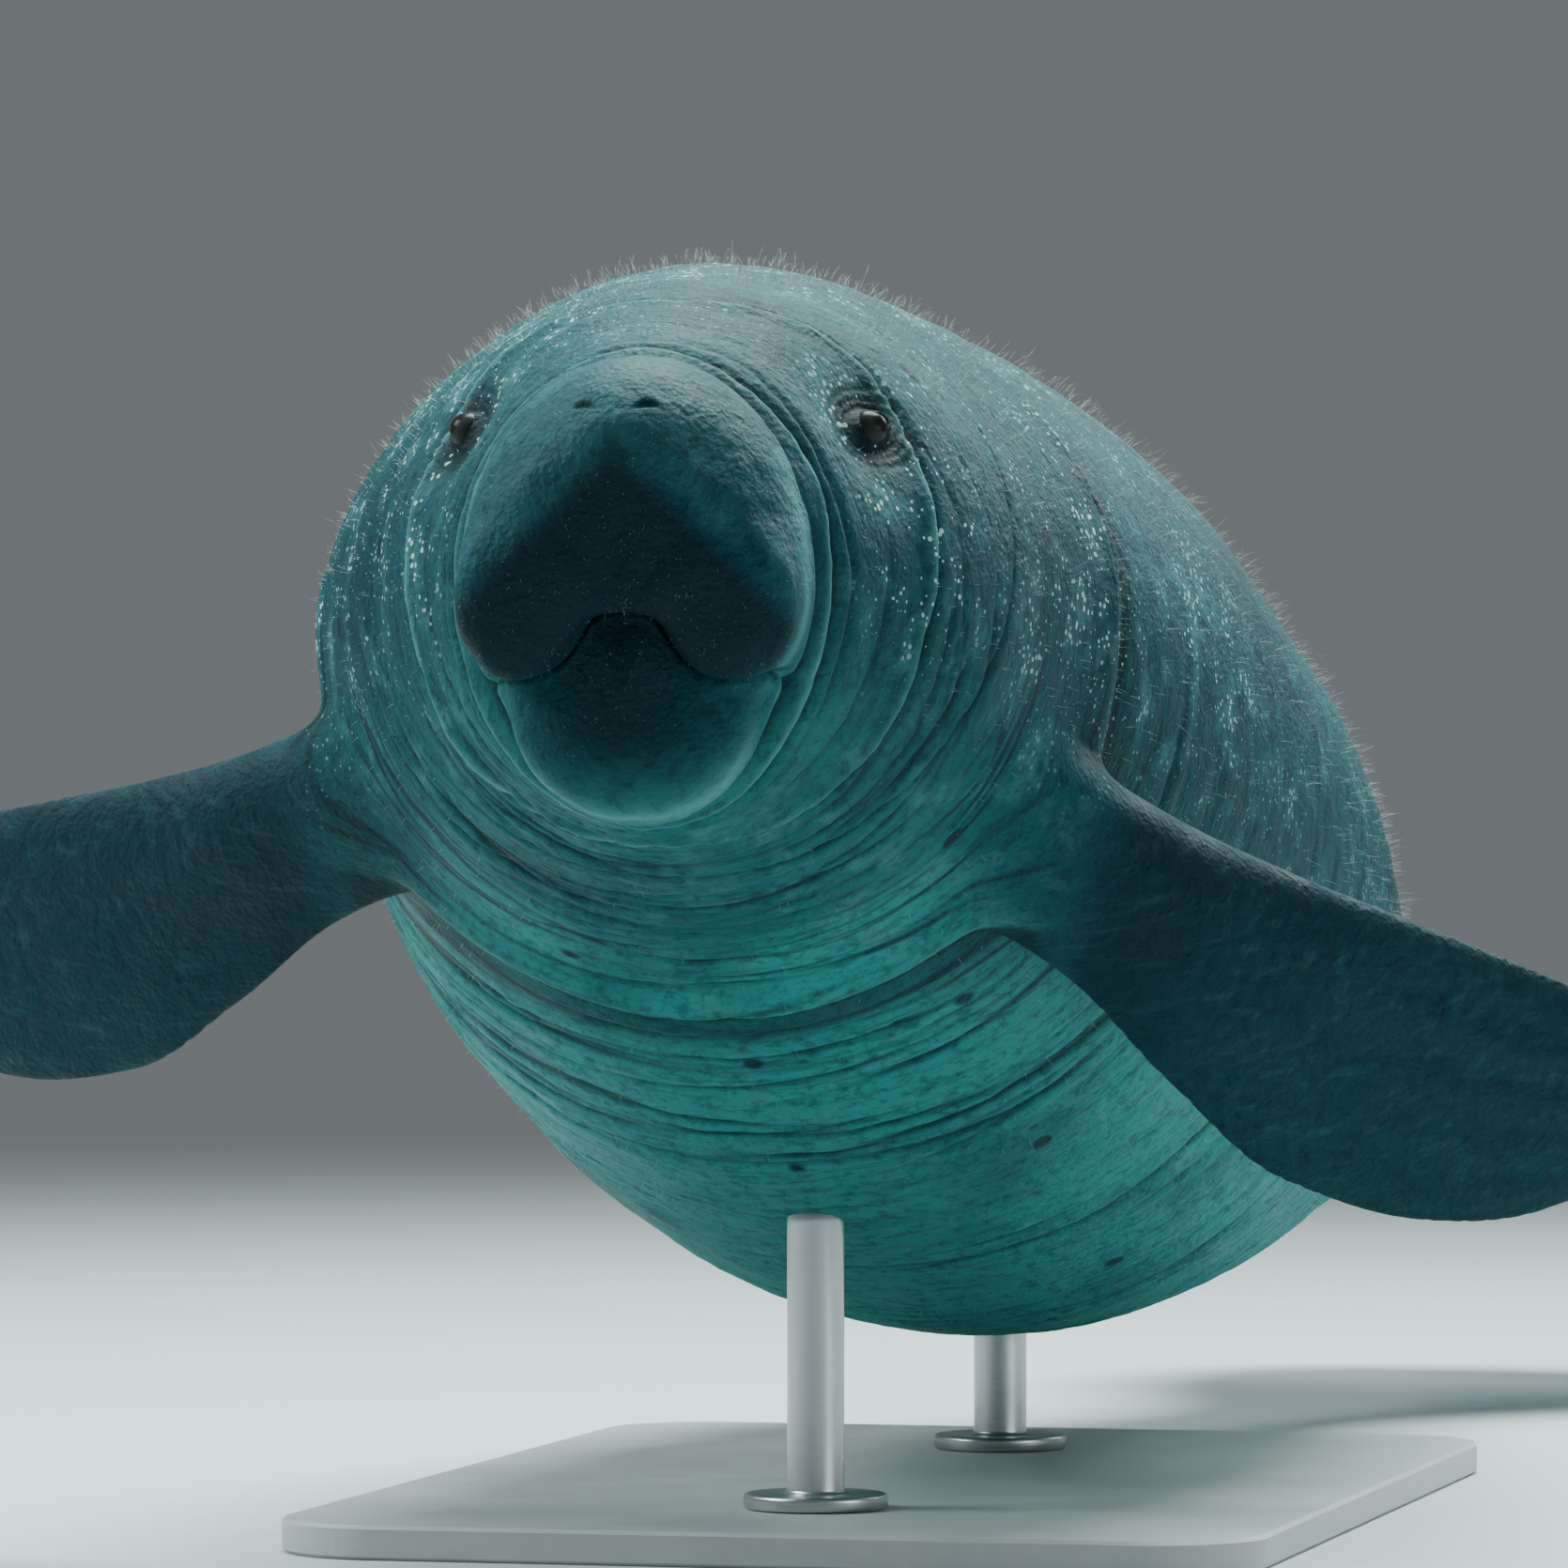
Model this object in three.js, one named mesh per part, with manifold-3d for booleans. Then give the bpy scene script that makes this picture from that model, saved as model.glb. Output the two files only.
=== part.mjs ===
// A young West Indian manatee, life size, gliding nose-up towards the viewer
// with both flippers spread, held over a flat base by two short rods.
//
// Millimetres, +Z up. The animal faces -Y, and its left side is on +X.
// A place on the body is given by its distance along the spine from the nose
// and by a turn round its oval: 0 on the animal's left, 90 on its back.

import * as THREE from 'three';
import { mergeVertices } from 'three/addons/utils/BufferGeometryUtils.js';
import Module from 'manifold-3d';

const wasm = await Module();
wasm.setup();

// Driving dimensions

const BODY_LENGTH = 2100;
// Clearance between neighbouring solids
const GAP = 0.3;
// Points closer than this are one point
const WELD = 1e-4;

// Half width, height above and depth below the spine, at named places along it
const GIRTHS = [
  { place: 'lips', at: 85, half: 83, above: 103, below: 114 },
  { place: 'eyes', at: 160, half: 121, above: 130, below: 130 },
  { place: 'jowls', at: 225, half: 149, above: 146, below: 150 },
  { place: 'nape', at: 290, half: 170, above: 158, below: 168 },
  { place: 'armpits', at: 370, half: 194, above: 178, below: 188 },
  { place: 'chest', at: 520, half: 226, above: 208, below: 218 },
  { place: 'ribs', at: 720, half: 248, above: 230, below: 238 },
  { place: 'girth', at: 920, half: 252, above: 230, below: 238 },
  { place: 'flank', at: 1130, half: 230, above: 204, below: 210 },
  { place: 'vent', at: 1330, half: 180, above: 160, below: 160 },
  { place: 'hip', at: 1480, half: 132, above: 118, below: 114 },
  { place: 'tail waist', at: 1600, half: 108, above: 86, below: 84 },
  { place: 'paddle root', at: 1700, half: 134, above: 62, below: 58 },
  { place: 'paddle shoulder', at: 1820, half: 204, above: 40, below: 36 },
  { place: 'paddle widest', at: 1935, half: 238, above: 28, below: 25 },
  { place: 'paddle curve', at: 2035, half: 200, above: 17, below: 15 },
  { place: 'paddle rim', at: 2080, half: 130, above: 10, below: 9 },
  { place: 'paddle tip', at: BODY_LENGTH, half: 40, above: 4, below: 4 },
];

// The shoulders narrow towards the back by this share of their width, over this stretch
const SHOULDERS = { narrowBy: 0.14, from: 180, full: 330, fading: 450, gone: 750 };

// Heading of the spine, in degrees: swing of the tail to +X, and how it sinks
const HEADINGS = [
  { at: 0, swing: 8, sink: -1 },
  { at: 200, swing: 8, sink: 1 },
  { at: 300, swing: 3, sink: 4 },
  { at: 450, swing: 11, sink: 13 },
  { at: 650, swing: 14, sink: 17 },
  { at: 900, swing: 14, sink: 15 },
  { at: 1300, swing: 20, sink: 10 },
  { at: 1700, swing: 28, sink: 5 },
  { at: BODY_LENGTH, swing: 31, sink: 0 },
];
const SPINE_STEPS = 420;

// The muzzle is a blunt dome in front of the lips' ring, swollen by seven pads:
// the centre and radii of each lie sideways, forward and up of the ring's centre.
// Its last ring of points opens this many degrees from the lips' ring.
const DOME = { forward: 70, bluntness: 2.5, swellsBy: 35, rings: 13, lastRing: 86 };
const PAD_BLEND = 16;
const PADS = [
  { name: 'nose', centre: [0, 16, 46], radii: [38, 60, 50] },
  { name: 'left bridge', centre: [22, 18, 20], radii: [36, 56, 36] },
  { name: 'right bridge', centre: [-22, 18, 20], radii: [36, 56, 36] },
  { name: 'left lip', centre: [43, 28, -14], radii: [39, 60, 42] },
  { name: 'right lip', centre: [-43, 28, -14], radii: [39, 60, 42] },
  { name: 'lower lip', centre: [0, 24, -52], radii: [36, 34, 30] },
  { name: 'chin', centre: [0, 4, -68], radii: [68, 54, 49] },
];
// A plane that flattens the front: its height and reach below the nostrils, in millimetres,
// and how far it leans back towards the chin, in degrees
const FACE = { up: 50, forward: 73, lean: 14, blend: 26, grazing: 1e-3 };

const EYE = { at: 172, turn: 35, radius: 9.5, sunk: 10, around: 14, rows: 8 };
const SOCKET = { depth: 7, width: 30 };

// Where the body is parted, measured along the spine
const PARTINGS = { muzzle: 125, head: 232, neck: 330, chest: 640, belly: 1180, tailStock: 1640 };
// The mouth's parting plane, from the lips' ring: height at the front, and fall towards the jowls
const MOUTH = { height: -52, fall: 14 };

// Chord, thickness and rearward offset of the chord's middle, along a flipper from the shoulder
const FLIPPER = [
  { place: 'root', at: 0, chord: 150, thick: 95, offset: 10 },
  { place: 'shoulder', at: 50, chord: 104, thick: 62, offset: 4 },
  { place: 'forearm', at: 100, chord: 98, thick: 50, offset: 2 },
  { place: 'wrist', at: 180, chord: 124, thick: 40, offset: 10 },
  { place: 'palm', at: 250, chord: 147, thick: 32, offset: 18 },
  { place: 'fingers', at: 320, chord: 140, thick: 25, offset: 16 },
  { place: 'finger ends', at: 380, chord: 106, thick: 18, offset: 8 },
  { place: 'nail line', at: 412, chord: 62, thick: 12, offset: 2 },
  { place: 'tip', at: 425, chord: 14, thick: 6, offset: 0 },
];
const FLIPPER_LENGTH = 425;
const FLIPPER_BURIED = 60;
const FLIPPER_TAPER = 0.35;
const WRIST_CUT = 165;
// The flipper droops by the stated angle at this share of its length
const DROOP_MIDDLE = 0.4;
// Degrees: place round the body, backward sweep, droop of the middle, turn of the
// leading edge upwards, and how far the droop lessens from shoulder to tip
const FLIPPER_POSES = {
  left: { side: 1, at: 400, turn: -35, sweep: 30, droop: 22, twist: 76, lift: 28 },
  right: { side: -1, at: 400, turn: -28, sweep: 30, droop: 10, twist: 68, lift: 28 },
};
// The outer nails sit further back, on a curve of this radius, and fan out
const NAIL = {
  count: 3, along: 398, spacing: 24, curve: 30, fan: 96, length: 16, width: 12, thick: 6, around: 10, rows: 6,
};

const STAND = {
  clearance: 66, baseThickness: 18, baseLength: 760, baseWidth: 520, corner: 60, bevel: 2,
  centreAt: 870, rodAt: { front: 640, rear: 1090 }, rodRadius: 15, shortOfSpine: 60,
  collarRadius: 38, collarHeight: 8, collarEdge: 1, fillet: 2,
};

// Facets round the body, the flippers, the rods and the base's corners
const ROUND = { body: 36, flipper: 18, rod: 20, corner: 8 };
// Steps along each stretch of the body and along the flippers
const STEPS = {
  lips: 2, head: 7, neck: 5, chest: 8, belly: 10, tailStock: 8, tailPaddle: 8, arm: 9, handPaddle: 9,
  trunkCutter: 13, bellyCutter: 26,
};
// Both paddles are stepped evenly up to a place, then closer towards the rounded end
const HAND_END = { evenTo: 380, closer: [396, 406, 414, 420] };
const TAIL_END = { evenTo: 2040, closer: [2065, 2085, 2095] };
// The bodies that flippers and rods are cut with reach this far past the stretch they cut
const CUTTER_REACH = { trunk: 60, belly: 100 };
// Longest stride taken along a flipper's curved axis
const FLIPPER_STRIDE = 5;

const radians = THREE.MathUtils.degToRad;

// A smooth curve through the named values of a list, flat where they turn back
function valueAlong(knots, key, at) {
  const last = knots.length - 1;
  const x = THREE.MathUtils.clamp(at, knots[0].at, knots[last].at);
  let i = 0;
  while (i < last - 1 && x > knots[i + 1].at) i += 1;
  const step = (j) => knots[j + 1].at - knots[j].at;
  const slope = (j) => (knots[j + 1][key] - knots[j][key]) / step(j);
  const tangent = (j) => {
    if (j === 0) return slope(0);
    if (j === last) return slope(last - 1);
    if (slope(j - 1) * slope(j) <= 0) return 0;
    return (slope(j - 1) * step(j) + slope(j) * step(j - 1)) / (step(j - 1) + step(j));
  };
  const h = step(i);
  const u = (x - knots[i].at) / h;
  const stay = (1 + 2 * u) * (1 - u) ** 2 * knots[i][key] + u * (1 - u) ** 2 * h * tangent(i);
  const reach = u * u * (3 - 2 * u) * knots[i + 1][key] + u * u * (u - 1) * h * tangent(i + 1);
  return stay + reach;
}

// The spine: its points and headings, from the nose to the tail's tip
function traceSpine() {
  const points = [];
  const point = new THREE.Vector3();
  let before = null;
  for (let k = 0; k <= SPINE_STEPS; k += 1) {
    const at = (k / SPINE_STEPS) * BODY_LENGTH;
    const swing = radians(valueAlong(HEADINGS, 'swing', at));
    const sink = radians(valueAlong(HEADINGS, 'sink', at));
    const back = new THREE.Vector3(
      Math.sin(swing) * Math.cos(sink),
      Math.cos(swing) * Math.cos(sink),
      -Math.sin(sink),
    );
    if (before) point.addScaledVector(before.clone().add(back), BODY_LENGTH / SPINE_STEPS / 2);
    points.push({ centre: point.clone(), back });
    before = back;
  }
  return points;
}

const SPINE = traceSpine();
const WORLD_UP = new THREE.Vector3(0, 0, 1);

// The spine's point and axes at a distance from the nose
function frameAt(at) {
  const k = THREE.MathUtils.clamp((at / BODY_LENGTH) * SPINE_STEPS, 0, SPINE_STEPS - 1e-9);
  const i = Math.floor(k);
  const centre = SPINE[i].centre.clone().lerp(SPINE[i + 1].centre, k - i);
  const back = SPINE[i].back.clone().lerp(SPINE[i + 1].back, k - i).normalize();
  const side = new THREE.Vector3().crossVectors(back, WORLD_UP).normalize();
  const up = new THREE.Vector3().crossVectors(side, back);
  return { centre, back, side, up };
}

// How much narrower the oval is at a turn than a plain one
function narrowing(at, turn) {
  const { smoothstep } = THREE.MathUtils;
  const begun = smoothstep(at, SHOULDERS.from, SHOULDERS.full);
  const left = 1 - smoothstep(at, SHOULDERS.fading, SHOULDERS.gone);
  return 1 - SHOULDERS.narrowBy * begun * left * Math.max(0, Math.sin(turn)) ** 2;
}

// The body's oval: a point sideways and up of the spine, and its outward direction
function ovalAt(at, turn) {
  const half = valueAlong(GIRTHS, 'half', at);
  const height = valueAlong(GIRTHS, Math.sin(turn) >= 0 ? 'above' : 'below', at);
  const outward = new THREE.Vector2(Math.cos(turn) / half, Math.sin(turn) / height).normalize();
  return { x: half * Math.cos(turn) * narrowing(at, turn), z: height * Math.sin(turn), outward };
}

// How deep the hollows round the eyes are at a place
function socketDepth(at, turn) {
  const { x, z } = ovalAt(at, turn);
  let depth = 0;
  for (const eyeTurn of [radians(EYE.turn), Math.PI - radians(EYE.turn)]) {
    const apart = Math.atan2(Math.sin(turn - eyeTurn), Math.cos(turn - eyeTurn)) * Math.hypot(x, z);
    const away = Math.hypot(at - EYE.at, apart) / SOCKET.width;
    depth += SOCKET.depth * Math.exp(-away * away);
  }
  return depth;
}

function onBody(at, turn, raised = 0) {
  const { centre, side, up } = frameAt(at);
  const { x, z, outward } = ovalAt(at, turn);
  const lift = raised - socketDepth(at, turn);
  return centre.addScaledVector(side, x + outward.x * lift).addScaledVector(up, z + outward.y * lift);
}

function turnsRound(count) {
  return Array.from({ length: count }, (_, k) => (k / count) * 2 * Math.PI);
}

function evenly(from, to, steps) {
  return Array.from({ length: steps + 1 }, (_, k) => from + ((to - from) * k) / steps);
}

// A closed body over a row of rings, each end closed to its own middle
function solidOverRings(rings) {
  const count = rings[0].length;
  const points = rings.flat();
  for (const ring of [rings[0], rings[rings.length - 1]]) {
    const middle = new THREE.Vector3();
    for (const point of ring) middle.add(point);
    points.push(middle.divideScalar(count));
  }
  const first = points.length - 2;
  const last = points.length - 1;
  const tail = (rings.length - 1) * count;
  const index = [];
  for (let k = 0; k < count; k += 1) {
    const next = (k + 1) % count;
    index.push(first, next, k, last, tail + k, tail + next);
    for (let row = 0; row < tail; row += count) {
      index.push(row + k, row + next, row + count + next, row + k, row + count + next, row + count + k);
    }
  }
  const geometry = new THREE.BufferGeometry().setFromPoints(points);
  geometry.setIndex(signedVolume(points, index) < 0 ? index.reverse() : index);
  return toSolid(geometry);
}

function signedVolume(points, index) {
  let sum = 0;
  const cross = new THREE.Vector3();
  for (let k = 0; k < index.length; k += 3) {
    cross.crossVectors(points[index[k + 1]], points[index[k + 2]]);
    sum += points[index[k]].dot(cross);
  }
  return sum;
}

// Between a three.js geometry and a solid that can be joined and cut
function toSolid(source) {
  const geometry = source.clone();
  geometry.deleteAttribute('normal');
  geometry.deleteAttribute('uv');
  const merged = mergeVertices(geometry, WELD);
  return new wasm.Manifold(new wasm.Mesh({
    numProp: 3,
    vertProperties: new Float32Array(merged.attributes.position.array),
    triVerts: new Uint32Array(merged.index.array),
  }));
}

function toGeometry(solid) {
  const mesh = solid.getMesh();
  const geometry = new THREE.BufferGeometry();
  geometry.setAttribute('position', new THREE.BufferAttribute(new Float32Array(mesh.vertProperties), 3));
  geometry.setIndex(new THREE.BufferAttribute(new Uint32Array(mesh.triVerts), 1));
  geometry.computeVertexNormals();
  return geometry;
}

// A length of the body between two distances along the spine
function bodyLength(stops, raised = 0) {
  const turns = turnsRound(ROUND.body);
  return solidOverRings(stops.map((at) => turns.map((turn) => onBody(at, turn, raised))));
}

// Distance from the lips' ring to the far side of a pad, or 0 where the ray misses it
function rayToPad(direction, pad) {
  let a = 0;
  let b = 0;
  let c = -1;
  for (let k = 0; k < 3; k += 1) {
    const d = direction[k] / pad.radii[k];
    const o = -pad.centre[k] / pad.radii[k];
    a += d * d;
    b += d * o;
    c += o * o;
  }
  const inside = b * b - a * c;
  return inside > 0 ? (Math.sqrt(inside) - b) / a : 0;
}

function smoothMax(a, b, blend) {
  const share = THREE.MathUtils.clamp(0.5 + (0.5 * (a - b)) / blend, 0, 1);
  return b + (a - b) * share + blend * share * (1 - share);
}

function smoothMin(a, b, blend) {
  return -smoothMax(-a, -b, blend);
}

// Distance from the lips' ring to the leaning plane of the face
function rayToFace(direction) {
  const forward = Math.cos(radians(FACE.lean));
  const down = Math.sin(radians(FACE.lean));
  const closing = direction[1] * forward - direction[2] * down;
  return (FACE.forward * forward - FACE.up * down) / Math.max(closing, FACE.grazing);
}

// A point of the muzzle, by a ray from the middle of the lips' ring.
// open is 0 at the ring and 90 degrees straight ahead.
function muzzlePoint(open, turn) {
  const lips = GIRTHS[0].at;
  const { x, z } = ovalAt(lips, turn);
  const angle = Math.atan2(z, x);
  const n = DOME.bluntness;
  const dome = ((Math.cos(open) / Math.hypot(x, z)) ** n + (Math.sin(open) / DOME.forward) ** n) ** (-1 / n);
  const ray = [Math.cos(open) * Math.cos(angle), Math.sin(open), Math.cos(open) * Math.sin(angle)];
  let swollen = dome;
  for (const pad of PADS) swollen = smoothMax(swollen, rayToPad(ray, pad), PAD_BLEND);
  swollen = smoothMin(swollen, rayToFace(ray), FACE.blend);
  const swell = THREE.MathUtils.smoothstep(open, 0, radians(DOME.swellsBy));
  const radius = dome + (swollen - dome) * swell;
  const { centre, back, side, up } = frameAt(lips);
  return centre
    .addScaledVector(side, radius * ray[0])
    .addScaledVector(up, radius * ray[2])
    .addScaledVector(back, -radius * ray[1]);
}

function makeSnout() {
  const turns = turnsRound(ROUND.body);
  const behind = evenly(PARTINGS.muzzle - GAP / 2, GIRTHS[0].at, STEPS.lips);
  const rings = behind.map((at) => turns.map((turn) => onBody(at, turn)));
  for (const open of evenly(0, DOME.lastRing, DOME.rings).slice(1)) {
    rings.push(turns.map((turn) => muzzlePoint(radians(open), turn)));
  }
  return solidOverRings(rings);
}

// A large block whose top face is the mouth's parting plane
function blockUnderMouth(lowered) {
  const reach = 400;
  const { centre, back, side, up } = frameAt(GIRTHS[0].at);
  const block = new THREE.BoxGeometry(reach, reach, reach);
  block.translate(0, 0, -reach / 2);
  block.rotateX(-radians(MOUTH.fall));
  block.translate(0, 0, MOUTH.height - lowered);
  block.applyMatrix4(new THREE.Matrix4().makeBasis(side, back, up).setPosition(centre));
  return toSolid(block);
}

function eyeCentre(side) {
  const turn = side > 0 ? radians(EYE.turn) : Math.PI - radians(EYE.turn);
  return onBody(EYE.at, turn, SOCKET.depth - EYE.sunk);
}

function ball(centre, radius) {
  const sphere = new THREE.SphereGeometry(radius, EYE.around, EYE.rows);
  sphere.translate(centre.x, centre.y, centre.z);
  return toSolid(sphere);
}

// Rings of a flipper, and the axes at each: outward, along the chord, and through it
function flipperFrames(pose, distances) {
  const { back, side, up } = frameAt(pose.at);
  const outward = side.clone().multiplyScalar(pose.side);
  const turn = pose.side > 0 ? radians(pose.turn) : Math.PI - radians(pose.turn);
  const sweep = radians(pose.sweep);
  const level = outward.clone().multiplyScalar(Math.cos(sweep)).addScaledVector(back, Math.sin(sweep));
  const axisAt = (at) => {
    const droop = radians(pose.droop - pose.lift * (at / FLIPPER_LENGTH - DROOP_MIDDLE));
    return level.clone().multiplyScalar(Math.cos(droop)).addScaledVector(up, -Math.sin(droop));
  };
  const place = onBody(pose.at, turn).addScaledVector(axisAt(0), -FLIPPER_BURIED);
  let reached = 0;
  return distances.map((at) => {
    while (reached < at - WELD) {
      const stride = Math.min(FLIPPER_STRIDE, at - reached);
      place.addScaledVector(axisAt(reached + stride / 2), stride);
      reached += stride;
    }
    const axis = axisAt(at);
    const rearward = back.clone().addScaledVector(axis, -back.dot(axis)).normalize();
    const downward = new THREE.Vector3().crossVectors(axis, rearward);
    if (downward.dot(up) > 0) downward.negate();
    const chord = rearward.multiplyScalar(Math.cos(radians(pose.twist)))
      .addScaledVector(downward, Math.sin(radians(pose.twist)));
    const through = new THREE.Vector3().crossVectors(axis, chord);
    return { at, centre: place.clone(), axis, chord, through };
  });
}

function makeFlipper(pose, distances, outward = 0) {
  const angles = turnsRound(ROUND.flipper);
  const rings = flipperFrames(pose, distances).map(({ at, centre, chord, through }) => {
    const halfChord = valueAlong(FLIPPER, 'chord', at) / 2 + outward;
    const halfThick = valueAlong(FLIPPER, 'thick', at) / 2 + outward;
    const offset = valueAlong(FLIPPER, 'offset', at);
    return angles.map((angle) => centre.clone()
      .addScaledVector(chord, offset + halfChord * Math.cos(angle))
      .addScaledVector(through, halfThick * Math.sin(angle) * (1 - FLIPPER_TAPER * Math.cos(angle))));
  });
  return solidOverRings(rings);
}

const PADDLE_STOPS = [
  ...evenly(WRIST_CUT + GAP / 2, HAND_END.evenTo, STEPS.handPaddle), ...HAND_END.closer, FLIPPER_LENGTH,
];

// Small flat ovals on the upper face, close to the tip
function makeNails(pose, side) {
  const hand = makeFlipper(pose, PADDLE_STOPS, GAP);
  const nails = {};
  const middle = (NAIL.count - 1) / 2;
  for (let k = 0; k < NAIL.count; k += 1) {
    const across = (k - middle) * NAIL.spacing;
    const along = NAIL.along - (across * across) / (2 * NAIL.curve);
    const [frame] = flipperFrames(pose, [along]);
    const thick = valueAlong(FLIPPER, 'thick', along) / 2;
    const offset = valueAlong(FLIPPER, 'offset', along);
    const fall = Math.sqrt(Math.max(0, 1 - (across / (valueAlong(FLIPPER, 'chord', along) / 2)) ** 2));
    const shape = new THREE.SphereGeometry(0.5, NAIL.around, NAIL.rows);
    shape.scale(NAIL.length, NAIL.width, NAIL.thick);
    shape.rotateZ(Math.atan2(across, NAIL.fan));
    const upper = frame.through.clone().multiplyScalar(pose.side);
    const across3 = frame.chord.clone().multiplyScalar(pose.side);
    const centre = frame.centre.clone()
      .addScaledVector(frame.chord, offset + across)
      .addScaledVector(upper, thick * fall);
    shape.applyMatrix4(new THREE.Matrix4().makeBasis(frame.axis, across3, upper).setPosition(centre));
    nails[`nail_${side}_${k + 1}`] = toSolid(shape).subtract(hand);
  }
  return nails;
}

// A rounded rectangle lying flat, with softened edges, seen along the trunk's heading
function makeBase(centre, heading) {
  const { baseLength, baseWidth, baseThickness, corner, bevel } = STAND;
  const x = baseWidth / 2 - bevel;
  const y = baseLength / 2 - bevel;
  const outline = new THREE.Shape();
  outline.moveTo(-x + corner, -y);
  outline.lineTo(x - corner, -y);
  outline.absarc(x - corner, -y + corner, corner, -Math.PI / 2, 0);
  outline.absarc(x - corner, y - corner, corner, 0, Math.PI / 2);
  outline.absarc(-x + corner, y - corner, corner, Math.PI / 2, Math.PI);
  outline.absarc(-x + corner, -y + corner, corner, Math.PI, 1.5 * Math.PI);
  const slab = new THREE.ExtrudeGeometry(outline, {
    depth: baseThickness - 2 * bevel,
    bevelThickness: bevel,
    bevelSize: bevel,
    bevelSegments: 1,
    curveSegments: ROUND.corner,
  });
  slab.translate(0, 0, bevel);
  slab.rotateZ(-heading);
  slab.translate(centre.x, centre.y, centre.z);
  return toSolid(slab);
}

// A rod with a low collar at its foot, tall enough to run into the belly
function makeRod(foot, height) {
  const { rodRadius, collarRadius, collarHeight, collarEdge, fillet } = STAND;
  const profile = [
    [0, 0], [collarRadius - collarEdge, 0], [collarRadius, collarEdge], [collarRadius, collarHeight - fillet],
    [collarRadius - fillet, collarHeight], [rodRadius + fillet, collarHeight],
    [rodRadius, collarHeight + fillet], [rodRadius, height], [0, height],
  ].map(([radius, z]) => new THREE.Vector2(radius, z));
  const rod = new THREE.LatheGeometry(profile, ROUND.rod);
  rod.rotateX(Math.PI / 2);
  rod.translate(foot.x, foot.y, foot.z);
  return toSolid(rod);
}

// Every node's solid, by name
function makeSolids() {
  const solids = {};
  const half = GAP / 2;

  const snout = makeSnout();
  solids.muzzle = snout.subtract(blockUnderMouth(-half));
  solids.lower_jaw = snout.intersect(blockUnderMouth(half));

  let head = bodyLength(evenly(PARTINGS.muzzle + half, PARTINGS.head - half, STEPS.head));
  for (const [name, side] of [['eye_left', 1], ['eye_right', -1]]) {
    const centre = eyeCentre(side);
    solids[name] = ball(centre, EYE.radius);
    head = head.subtract(ball(centre, EYE.radius + GAP));
  }
  solids.head = head;
  solids.neck = bodyLength(evenly(PARTINGS.head + half, PARTINGS.neck - half, STEPS.neck));
  solids.chest = bodyLength(evenly(PARTINGS.neck + half, PARTINGS.chest - half, STEPS.chest));
  solids.belly = bodyLength(evenly(PARTINGS.chest + half, PARTINGS.belly - half, STEPS.belly));
  solids.tail_stock = bodyLength(evenly(PARTINGS.belly + half, PARTINGS.tailStock - half, STEPS.tailStock));
  const paddle = evenly(PARTINGS.tailStock + half, TAIL_END.evenTo, STEPS.tailPaddle);
  solids.tail_paddle = bodyLength([...paddle, ...TAIL_END.closer, BODY_LENGTH]);

  const trunkStops = evenly(
    PARTINGS.neck - CUTTER_REACH.trunk, PARTINGS.chest + CUTTER_REACH.trunk, STEPS.trunkCutter,
  );
  const trunk = bodyLength(trunkStops, GAP);
  for (const [side, pose] of Object.entries(FLIPPER_POSES)) {
    const arm = makeFlipper(pose, evenly(0, WRIST_CUT - half, STEPS.arm));
    solids[`flipper_${side}_arm`] = arm.subtract(trunk);
    solids[`flipper_${side}_paddle`] = makeFlipper(pose, PADDLE_STOPS);
    Object.assign(solids, makeNails(pose, side));
  }

  const lowest = bodyLength(evenly(
    PARTINGS.chest - CUTTER_REACH.belly, PARTINGS.belly + CUTTER_REACH.belly, STEPS.bellyCutter,
  ));
  const bellyZ = lowest.boundingBox().min[2];
  const baseTop = bellyZ - STAND.clearance;
  const middle = frameAt(STAND.centreAt);
  const heading = Math.atan2(middle.back.x, middle.back.y);
  const baseFoot = middle.centre.clone().setZ(baseTop - STAND.baseThickness);
  solids.stand_base = makeBase(baseFoot, heading);
  const underBelly = lowest.translate([0, 0, -GAP]);
  for (const [end, at] of Object.entries(STAND.rodAt)) {
    const { centre } = frameAt(at);
    const rod = makeRod(centre.clone().setZ(baseTop + GAP), centre.z - baseTop - STAND.shortOfSpine);
    solids[`stand_rod_${end}`] = rod.subtract(underBelly);
  }
  return solids;
}

function material(color, roughness, metalness = 0) {
  return new THREE.MeshStandardMaterial({ color, roughness, metalness });
}

const MATERIALS = {
  back: material(0x66736c, 0.6),
  underside: material(0x5d7f7a, 0.6),
  lips: material(0x5a5f5c, 0.65),
  eye: material(0x16110e, 0.1),
  nail: material(0x8d8a7c, 0.45),
  base: material(0xc9cdcb, 0.55),
  rod: material(0x9aa0a3, 0.35, 0.9),
};

function materialOf(name) {
  if (name.startsWith('eye_')) return MATERIALS.eye;
  if (name.startsWith('nail_')) return MATERIALS.nail;
  if (name === 'stand_base') return MATERIALS.base;
  if (name.startsWith('stand_')) return MATERIALS.rod;
  if (name === 'muzzle' || name === 'lower_jaw') return MATERIALS.lips;
  if (name === 'chest' || name === 'belly') return MATERIALS.underside;
  return MATERIALS.back;
}

const manatee = new THREE.Group();
for (const [name, solid] of Object.entries(makeSolids())) {
  const mesh = new THREE.Mesh(toGeometry(solid), materialOf(name));
  mesh.name = name;
  manatee.add(mesh);
}

// The origin is under the middle of the whole, on the floor
const box = new THREE.Box3().setFromObject(manatee);
const middleOfBox = box.getCenter(new THREE.Vector3());
manatee.position.set(-middleOfBox.x, -middleOfBox.y, -box.min.z);

export default manatee;
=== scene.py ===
# A young West Indian manatee, life size, on a plain display stand.
# Metres, +Z up. The animal faces -Y, and its left side is on +X.
# A place on the body is its distance along the spine from the nose, and a turn
# round the spine: 0 on the animal's left, 90 degrees on its back.
import math

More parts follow.
